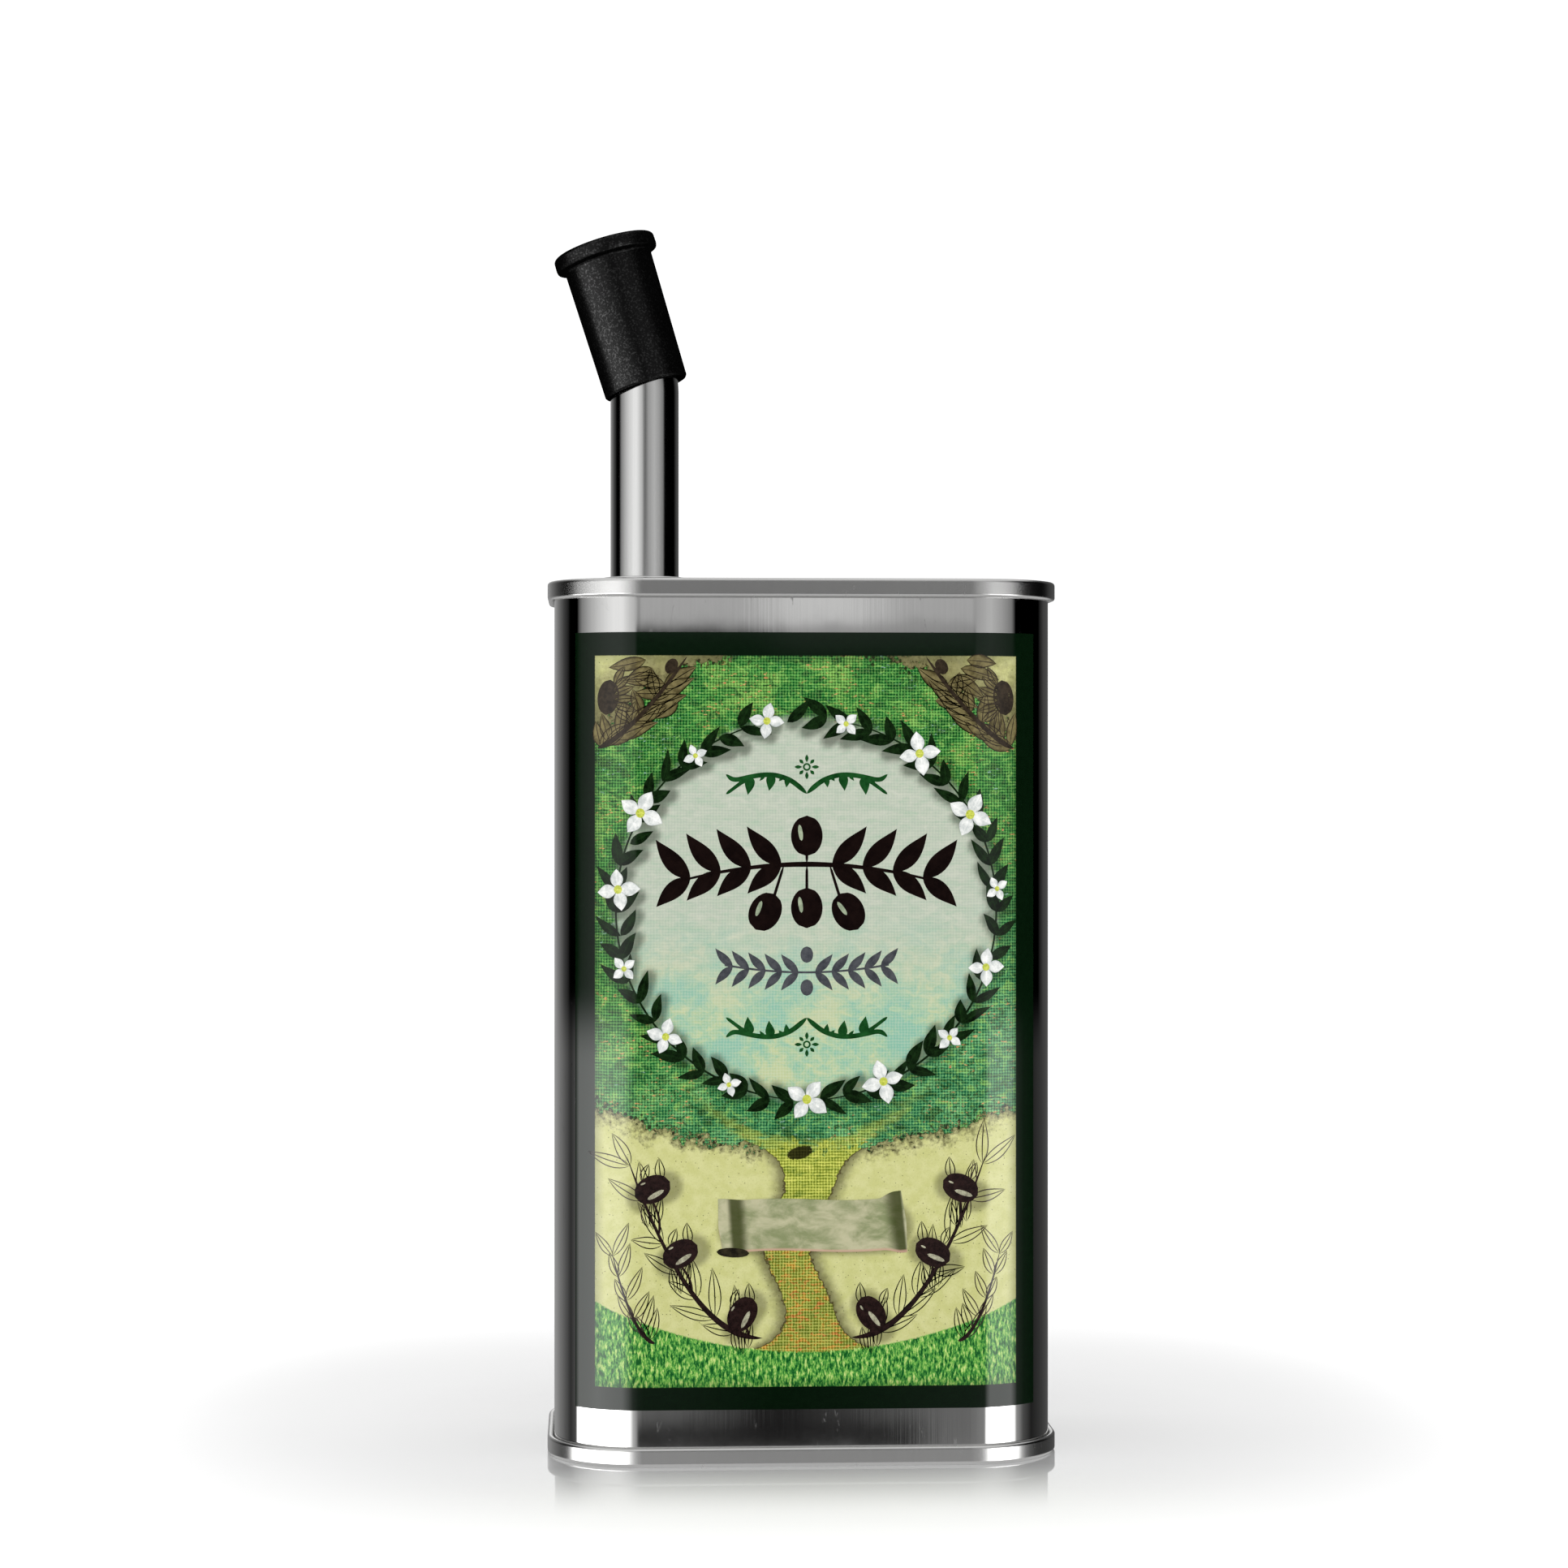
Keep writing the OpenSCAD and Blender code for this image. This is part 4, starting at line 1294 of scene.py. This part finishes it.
def makeBoughs():
    # Gives the olives as thick strokes, for the shade painted beside them
    dark = inkPaint("oliveInk", shade(16, 8, 8), shade(46, 30, 28), 0.0, 1200)
    pen = inkPaint("penInk", shade(34, 24, 24), shade(70, 56, 52), 0.0, 1200)
    pale = inkPaint("glintInk", shade(110, 104, 88), shade(196, 196, 168), 0.0, 1200)
    above, below = boughs["leavesAbove"].values(), boughs["leavesBelow"].values()
    fruit, glints, twigs, penned = [], [], [], []
    for side in (-1, 1):
        t = np.linspace(0, 1, 60)
        near = np.stack([side * (7.0 + 21.5 * t ** 0.8), 20.2 + 29.0 * t ** 1.7], -1)
        far = np.stack([side * (24.0 + 9.0 * t), 19.5 + 2.0 * t + 22.0 * t ** 2], -1)
        twigs += [strokeShape(near, 1.1, 0.75), strokeShape(far[:46], 0.7, 0.7)]
        for u, z, lean in boughs["olives"]:
            u, lean = (u, lean) if side < 0 else (-u, 180 - lean)
            fruit.append(olive((u, z), *boughs["size"], lean))
            glints.append(olive((u + 0.5, z - 0.85), 3.0, 0.75, lean + 6, 11))
            glints.append(olive((u - 1.5, z + 0.9), 0.9, 0.3, lean, 7))
            root = near[np.argmin(np.hypot(*(near - (u, z - 7.5)).T))]
            foot = np.array([u, z - 1.8])
            sway = 0.5 * np.sin(np.pi * np.linspace(0, 1, 12))
            twigs.append(strokeShape(np.linspace(root, foot, 12) + np.stack([sway, 0 * sway], -1), 0.42, 0.2))
            feet = [(u - 1.4 * side, z + 1.4), (u + 1.6 * side, z + 1.2)]
            penned.append(leafShapes(feet, *above, 0.1, 9, 0.8))
            feet = foot + np.array([(0.9, -3.6), (-0.7, -4.2), (0.1, -4.6)])
            penned.append(leafShapes(feet, *below, 0.12, 9, 0.8))
        for bough, kind in ((near, "near"), (far, "far")):
            for way, turns, lengths, width, bow, rows in boughs[kind]:
                feet = bough[boughs[kind + "At"]]
                penned.append(sprigs(feet, way * side, turns, lengths, width, bow * side, rows))
    drawn = [outlineShapes(*leaves, boughs["pen"]) for leaves in penned]
    inkPiece("boughTwigs", twigs, 0.004, 0.012, dark)
    inkPiece("boughLeafLines", drawn, 0.008, 0.01, pen, 2)
    inkPiece("boughOlives", fruit, 0.02, 0.03, dark, 7)
    inkPiece("boughGlints", glints, 0.052, 0.008, pale, 3)
    middles = np.array([line[0] for line, _ in fruit])
    return [middles[:, 2], middles[:, -3], np.full(len(fruit), 1.9)]


# Brown boughs in the two upper corners, behind the crown
corner = {
    "reach": 33.4,
    "pen": 0.15,
    "outerAt": [1, 4, 8, 12, 16, 20, 24, 29],
    "outer": ((50, 74), (6.0, 8.0), 2.5, 0.12, 11),
    "innerAt": [2, 6, 10, 15, 20, 26],
    "inner": ((-24, 16), (3.8, 5.8), 1.9, 0.1, 9),
    "crest": ((70, 130), (4.6, 6.6), 2.1, 0.1, 9),
}


def makeCorners():
    fill = inkPaint("cornerInk", shade(74, 66, 40), shade(132, 122, 82), 0.25, 700, 0.5)
    dark = inkPaint("cornerPen", shade(30, 24, 18), shade(62, 52, 40), 0.0, 1200)
    shapes, fruit, twigs = [], [], []
    reach = corner["reach"]
    for side in (-1, 1):
        t = np.linspace(0, 1, 40)
        bough = np.stack([side * (reach - 14.5 * t), 113.5 + 13.5 * t ** 1.5 + 1.0 * t], -1)
        twigs.append(strokeShape(bough, 0.9, 0.5))
        shapes.append(sprigs(bough[corner["outerAt"]], side, *corner["outer"]))
        shapes.append(sprigs(bough[corner["innerAt"]], side, *corner["inner"]))
        crest = np.stack([side * np.linspace(reach - 8, reach - 13, 6), np.linspace(127.4, 121, 6)], -1)
        shapes.append(sprigs(crest, -side, *corner["crest"]))
        tuft = np.stack([side * np.full(6, reach - 3.0), np.linspace(119.5, 123.5, 6)], -1)
        shapes.append(leafShapes(tuft, 90 + side * np.linspace(125, 30, 6), 3.4, 1.3, 0.1, 9, 0.8))
        fruit.append(olive((side * (reach - 1.9), 121.5), 5.6, 3.6, 90 + 8 * side))
        fruit.append(olive((side * (reach - 12.0), 126.4), 2.6, 1.9, 90 + 30 * side))
    inkPiece("cornerLeaves", shapes, 0.004, 0.01, fill, 3)
    drawn = [outlineShapes(*leaves, corner["pen"]) for leaves in shapes]
    inkPiece("cornerLines", drawn, 0.016, 0.006, dark, 2)
    inkPiece("cornerBoughs", twigs + fruit, 0.02, 0.02, dark, 3)


# A blank ribbon across the trunk, with rolled ends
ribbon = {"low": -14.0, "high": 15.8, "middle": 38.0, "half": 4.1, "tilt": 0.03}


def makeRibbon():
    # Gives the ribbon as thick strokes, for the shade painted beside it
    t = np.linspace(0, 1, 80)
    u = ribbon["low"] + (ribbon["high"] - ribbon["low"]) * t
    z = ribbon["middle"] + ribbon["tilt"] * (u - 1) + 0.35 * np.sin(2 * np.pi * t)
    ends = 0.5 * (1 - step(t, 0.0, 0.16)) + 0.8 * step(t, 0.86, 0.1)
    half = (ribbon["half"] + ends) * np.clip(np.minimum(t, 1 - t) / 0.012, 0, 1) ** 0.4
    line = np.stack([u, z + 0.15 * ends], -1)
    paint = varnished("ribbonInk")
    across, along, _ = paint.split(paint.printed())
    cloud = paint.grain((220, 220, 420), 5.0, 0.6, 0.4, (0, 0.5, 0))
    paper = paint.mix(paint.smooth(cloud, 0.33, 0.67), shade(132, 140, 100), shade(186, 183, 150))
    rolled = paint.between(along, 0.035, 0.085, 0.1, 0.19) + paint.between(along, 0.85, 0.965, 0.975, 1.0)
    paper = paint.mix(paint.smooth(rolled, 0.1, 1.0) * 0.9, paper, shade(50, 58, 14))
    edge = paint.smooth(across, 0.06, 0.02) * 0.8
    paint.drive(color=paint.mix(edge, paper, shade(196, 158, 138)))
    inkPiece("ribbon", [(line[None], half[None])], 0.03, 0.03, paint, 7)
    hole = olive((ribbon["low"] + 2.3, ribbon["middle"] - ribbon["half"] - 0.15), 5.2, 1.5, -3)
    black = inkPaint("rollInk", shade(14, 12, 8), shade(58, 52, 36), 0.0, 900)
    inkPiece("ribbonRoll", [hole], 0.064, 0.006, black, 5)
    inner = line[10:-9:12]
    return [inner[:-1], inner[1:], np.full(len(inner) - 1, ribbon["half"] - 0.5)]


wreathStrokes = makeWreath()
makeScrolls()
makeMotif()
boughStrokes = makeBoughs()
makeCorners()
ribbonStrokes = makeRibbon()
print("label art drawn")


def labelInk():
    # The printed ground: cream paper, a leafy crown and trunk on canvas, a pale medallion, grass and a border
    paint = varnished("labelInk")
    across, up, _ = paint.split(paint.printed())
    u = (across - 0.5) * label["mapWidth"]
    z = up * label["mapHeight"]
    here = paint.vector(u, z)
    absolute = paint.absolute

    def stretched(x, y, turn=0.0):
        return paint.mapped(here, (x, y, 1), (0, 0, turn))

    def swell(part, distance):
        # How much wider the trunk gets there: half * e^(distance / span)
        return part["half"] * paint.maths("EXPONENT", distance / part["span"])

    # Canvas: two sets of threads, each thread a little lighter or darker than its neighbours
    pitch = 2 * math.pi / label["threadPitch"]
    wander = paint.noise(here, 0.9, 2.0) * 3.0
    upright = paint.maths("SINE", u * pitch + wander) * 0.5 + 0.5
    level = paint.maths("SINE", z * pitch + wander) * 0.5 + 0.5
    uprightTone = paint.noise(stretched(2.2, 0.25), 1.0, 2.0)
    levelTone = paint.noise(stretched(0.25, 2.2), 1.0, 2.0)
    canvas = paint.smooth(upright * uprightTone + level * levelTone, 0.26, 0.72)

    # Brush strokes at a few slants
    broad = paint.noise(here, 0.11, 3.0, 0.6)
    strokes = paint.noise(stretched(0.22, 1.0, 0.5), 1.0, 4.0, 0.65, 0.6)
    flecks = paint.noise(stretched(0.9, 2.2, -0.5), 1.0, 3.0, 0.7)
    fine = paint.noise(here, 3.6, 3.0, 0.7)
    streaks = paint.noise(stretched(0.5, 0.75, 0.9), 1.0, 5.0, 0.75, 0.9)

    def brushed(low, middle, high, share, spread=0.15):
        return paint.ramp(share, (0.5 - spread, low), (0.5, middle), (0.5 + spread, high))

    tone = broad * 0.4 + strokes * 0.25 + streaks * 0.25 + fine * 0.1
    leafy = brushed(shade(2, 78, 28), shade(26, 142, 58), shade(142, 200, 94), tone, 0.1)
    tealward = paint.smooth(u * 0.5 - (z - crown["z"]) + 20.0 * broad, 6.0, 42.0)
    teal = brushed(shade(2, 82, 60), shade(34, 142, 104), shade(120, 202, 148), tone, 0.1)
    leafy = paint.mix(tealward * 0.8, leafy, teal)
    leafy = paint.mix(paint.smooth(streaks, 0.53, 0.6) * 0.7, leafy, shade(140, 196, 96))
    leafy = paint.mix(paint.smooth(streaks, 0.48, 0.4) * 0.8, leafy, shade(4, 74, 34))
    darkThread = paint.mix(0.66, leafy, shade(2, 36, 12))
    leafy = paint.mix(canvas, darkThread, paint.mix(0.2, leafy, shade(180, 224, 130)))
    warm = paint.smooth(flecks, 0.6, 0.64) * paint.smooth(broad, 0.49, 0.57)
    ember = paint.ramp(fine, (0.4, shade(206, 96, 66)), (0.56, shade(226, 178, 120)))
    leafy = paint.mix(warm * 0.9, leafy, ember)
    cool = paint.smooth(flecks, 0.4, 0.34) * paint.smooth(broad, 0.46, 0.4)
    leafy = paint.mix(cool * 0.7, leafy, shade(160, 196, 186))

    # Shapes, each as a distance that is positive inside
    ragged = (paint.noise(here, 0.34, 2.0) - 0.5) * 6.0 + (paint.noise(here, 1.3, 3.0, 0.7) - 0.5) * 7.0
    sag = u / label["artHalf"]
    sag = sag * sag
    dome = crown["radius"] - paint.maths("SQRT", u * u + (z - crown["z"]) * (z - crown["z"]))
    crownIn = paint.least(dome, z - crown["foot"] - crown["sag"] * sag) + ragged
    bark = (paint.noise(here, 1.1, 3.0) - 0.5) * 1.6
    lean = (z - trunk["bendZ"]) / trunk["bendSpan"]
    middle = 1.0 - trunk["bend"] * paint.maths("EXPONENT", lean * lean * -1.0)
    spread = swell(trunkRoots, trunkRoots["z"] - z) + swell(trunkFork, z - trunkFork["z"])
    trunkIn = trunk["half"] + spread - absolute(u - middle) + bark
    trunkIn = paint.least(paint.least(trunkIn, trunk["widest"] - absolute(u)), trunk["top"] - z)
    fromMedal = paint.maths("SQRT", u * u + (z - medal["z"]) * (z - medal["z"]))

    # Cream paper, shaded beside the crown and the trunk
    creamShare = paint.smooth(paint.noise(here, 0.5, 4.0), 0.3, 0.7)
    cream = paint.mix(creamShare, shade(204, 205, 136), shade(216, 216, 154))
    specks = paint.smooth(paint.cells(here, 1.3), 0.14, 0.08)
    speckInk = paint.mix(paint.smooth(fine, 0.4, 0.6), shade(96, 70, 40), shade(60, 104, 60))
    cream = paint.mix(specks * 0.75, cream, speckInk)
    cream = paint.mix(paint.smooth(fine, 0.5, 0.7) * 0.3, cream, shade(166, 164, 98))
    near = paint.smooth(paint.most(crownIn, trunkIn), -2.8, 0.0)
    art = paint.mix(near * 0.72, cream, shade(62, 56, 34))
    gloom = paint.smooth(crownIn + 3.0 * (strokes - 0.5), -9.0, -2.5) * paint.smooth(z, 100.0, 108.0)
    art = paint.mix(gloom * 0.7, art, paint.mix(streaks, shade(58, 48, 28), shade(140, 132, 90)))
    printShade = paint.value("inkShade")
    art = paint.mix(printShade * 0.55, art, shade(60, 56, 36))

    # Trunk
    barkTone = strokes * 0.4 + streaks * 0.4 + fine * 0.2
    woody = brushed(shade(96, 128, 30), shade(184, 196, 68), shade(226, 228, 104), barkTone, 0.1)
    woody = paint.mix(paint.smooth(z, 46.0, 34.0) * 0.55, woody, shade(122, 126, 44))
    embers = paint.smooth(flecks, 0.49, 0.54) * paint.smooth(streaks, 0.46, 0.52)
    embers = embers * paint.smooth(z, 44.0, 30.0)
    glowing = paint.ramp(strokes, (0.42, shade(222, 84, 46)), (0.58, shade(230, 150, 44)))
    woody = paint.mix(embers * 0.9, woody, glowing)
    darkThread = paint.mix(0.62, woody, shade(44, 72, 8))
    woody = paint.mix(canvas, darkThread, paint.mix(0.28, woody, shade(236, 236, 140)))
    art = paint.mix(paint.smooth(trunkIn, 0.0, 0.12), art, woody)
    art = paint.mix(paint.smooth(absolute(trunkIn), 0.2, 0.05) * 0.75, art, shade(58, 44, 24))

    # Crown, with boughs of the trunk showing through its lower part and dark nicks round its edge
    limb = absolute(z - crown["foot"] - 30.0 * sag + 5.0 * (strokes - 0.5))
    bough = paint.smooth(limb, 1.5, 0.3) * paint.smooth(absolute(u), 22.0, 3.0)
    leafy = paint.mix(bough * 0.75, leafy, woody)
    art = paint.mix(paint.smooth(crownIn, 0.0, 0.1), art, leafy)
    nicks = paint.smooth(paint.cells(here, 1.1), 0.38, 0.3) * paint.between(crownIn, -0.7, -0.3, 0.4, 3.4)
    nicks = nicks * paint.smooth(broad + fine * 0.3, 0.42, 0.56) * paint.smooth(trunkIn, 1.0, -1.0)
    art = paint.mix(nicks * 0.9, art, shade(30, 26, 16))
    rim = paint.smooth(absolute(crownIn - 0.05), 0.3, 0.06) * paint.smooth(trunkIn, 0.0, -0.5)
    art = paint.mix(rim * 0.8, art, shade(52, 44, 24))
    # A dark hollow where the boughs part
    wide, high = (u - hollow["u"]) / hollow["half"], (z - hollow["z"] - 0.2 * u) / hollow["halfHeight"]
    hollowIn = 1.0 - wide * wide - high * high + 1.6 * (fine - 0.5)
    art = paint.mix(paint.smooth(hollowIn, 0.0, 0.15) * 0.95, art, shade(22, 18, 8))

    # Medallion
    calmTone = strokes * 0.5 + streaks * 0.5
    calm = brushed(shade(168, 190, 168), shade(184, 194, 178), shade(200, 204, 190), calmTone)
    lower = paint.smooth(z + 14.0 * broad, 98.0, 74.0)
    greenTone = streaks * 0.5 + broad * 0.5
    greener = brushed(shade(118, 188, 164), shade(152, 198, 156), shade(196, 208, 150), greenTone, 0.08)
    calm = paint.mix(lower * 0.75, calm, greener)
    calm = paint.mix(canvas * 0.24, calm, shade(222, 228, 204))
    calm = paint.mix(printShade * 0.66, calm, shade(40, 50, 34))
    calm = paint.mix(paint.smooth(fromMedal, *medal["halo"]) * 0.16, calm, shade(90, 112, 84))
    ringShade = paint.smooth(absolute(fromMedal - medal["ring"]), 2.6, 0.0) * printShade
    art = paint.mix(ringShade * 0.6, art, shade(16, 40, 16))
    art = paint.mix(paint.smooth(fromMedal + (strokes - 0.5) * 2.0, *medal["edge"]), art, calm)

    # Grass: upright blades, lit at their tips
    tallBlades = paint.noise(stretched(2.1, 0.62, 0.12), 1.0, 3.0, 0.75)
    blades = tallBlades * 0.7 + paint.noise(stretched(3.0, 0.9, -0.2), 1.0, 2.0, 0.6) * 0.3
    greens = ((0.43, (14, 86, 32)), (0.49, (70, 148, 64)), (0.54, (124, 190, 82)), (0.62, (210, 228, 140)))
    grass = paint.ramp(blades, *[(place, shade(*green)) for place, green in greens])
    lawnIn = lawn["z"] + lawn["sag"] * sag + 1.2 * (blades - 0.5) - z
    art = paint.mix(paint.smooth(lawnIn, -0.1, 0.15), art, grass)

    # Border
    beside, beyond = absolute(u) - label["artHalf"], absolute(z - label["artMiddle"]) - label["artHalfHeight"]
    edge = paint.most(beside, beyond)
    framed = paint.smooth(edge + (fine - 0.5) * 0.12, -0.1, 0.08)
    border = paint.mix(paint.noise(here, 0.9, 4.0), shade(3, 17, 5), shade(9, 27, 12))
    art = paint.mix(paint.smooth(edge, -2.0, 0.0) * 0.35, art, shade(20, 34, 18))
    art = paint.mix(framed, art, border)
    paint.drive(color=paint.mix(1.0, art, gray(label["tone"]), "MULTIPLY"), rough=0.55 + 0.1 * fine)
    return paint


def makeLabel():
    # A sheet over the front and round both corners, printed side out, edges turned in to the can's wall
    columns = int(2 * label["halfWidth"] / label["gridStep"]) + 1
    rows = int((label["high"] - label["low"]) / label["gridStep"]) + 1
    across = np.linspace(-label["halfWidth"], label["halfWidth"], columns)
    u, z = np.meshgrid(across, np.linspace(label["low"], label["high"], rows), indexing="ij")
    front, out = wrapLabel(u, z, label["thick"])
    back, _ = wrapLabel(u, z, label["glue"])
    flat = np.stack([0.5 + u / label["mapWidth"], z / label["mapHeight"]], -1)
    sheet = {
        "points": np.concatenate([front, back[:, ::-1]], 1),
        "normals": np.concatenate([out, -out[:, ::-1]], 1),
        "map": np.concatenate([flat, flat[:, ::-1]], 1),
        "wrapColumns": True,
    }
    patches = [sheet]
    for end in (0, -1):
        edgeOut = np.stack([-out[end, :, 1], out[end, :, 0], out[end, :, 2]], -1) * (1 if end else -1)
        patches.append({
            "points": np.stack([front[end], back[end]]),
            "normals": np.stack([edgeOut, edgeOut]),
            "map": np.stack([flat[end], flat[end]]),
        })
    piece, where = buildMesh("frontLabel", patches)
    thickStrokes = zip(wreathStrokes, boughStrokes, ribbonStrokes)
    starts, ends, radii = (np.concatenate(part) for part in thickStrokes)
    fall = np.array([0.35, -0.45])  # where the painted light throws the shade
    shadeGrid = segmentShade(u, z, starts + fall, ends + fall, radii, 1.2)
    values = np.zeros(len(piece.data.vertices), np.float32)
    both = np.concatenate([shadeGrid, shadeGrid[:, ::-1]], 1).ravel()
    values[where[:both.size]] = both
    piece.data.attributes.new("inkShade", "FLOAT", "POINT").data.foreach_set("value", values)
    dress(piece, "can", ["front_label"], "label_print", labelInk())


makeLabel()
print("label made")
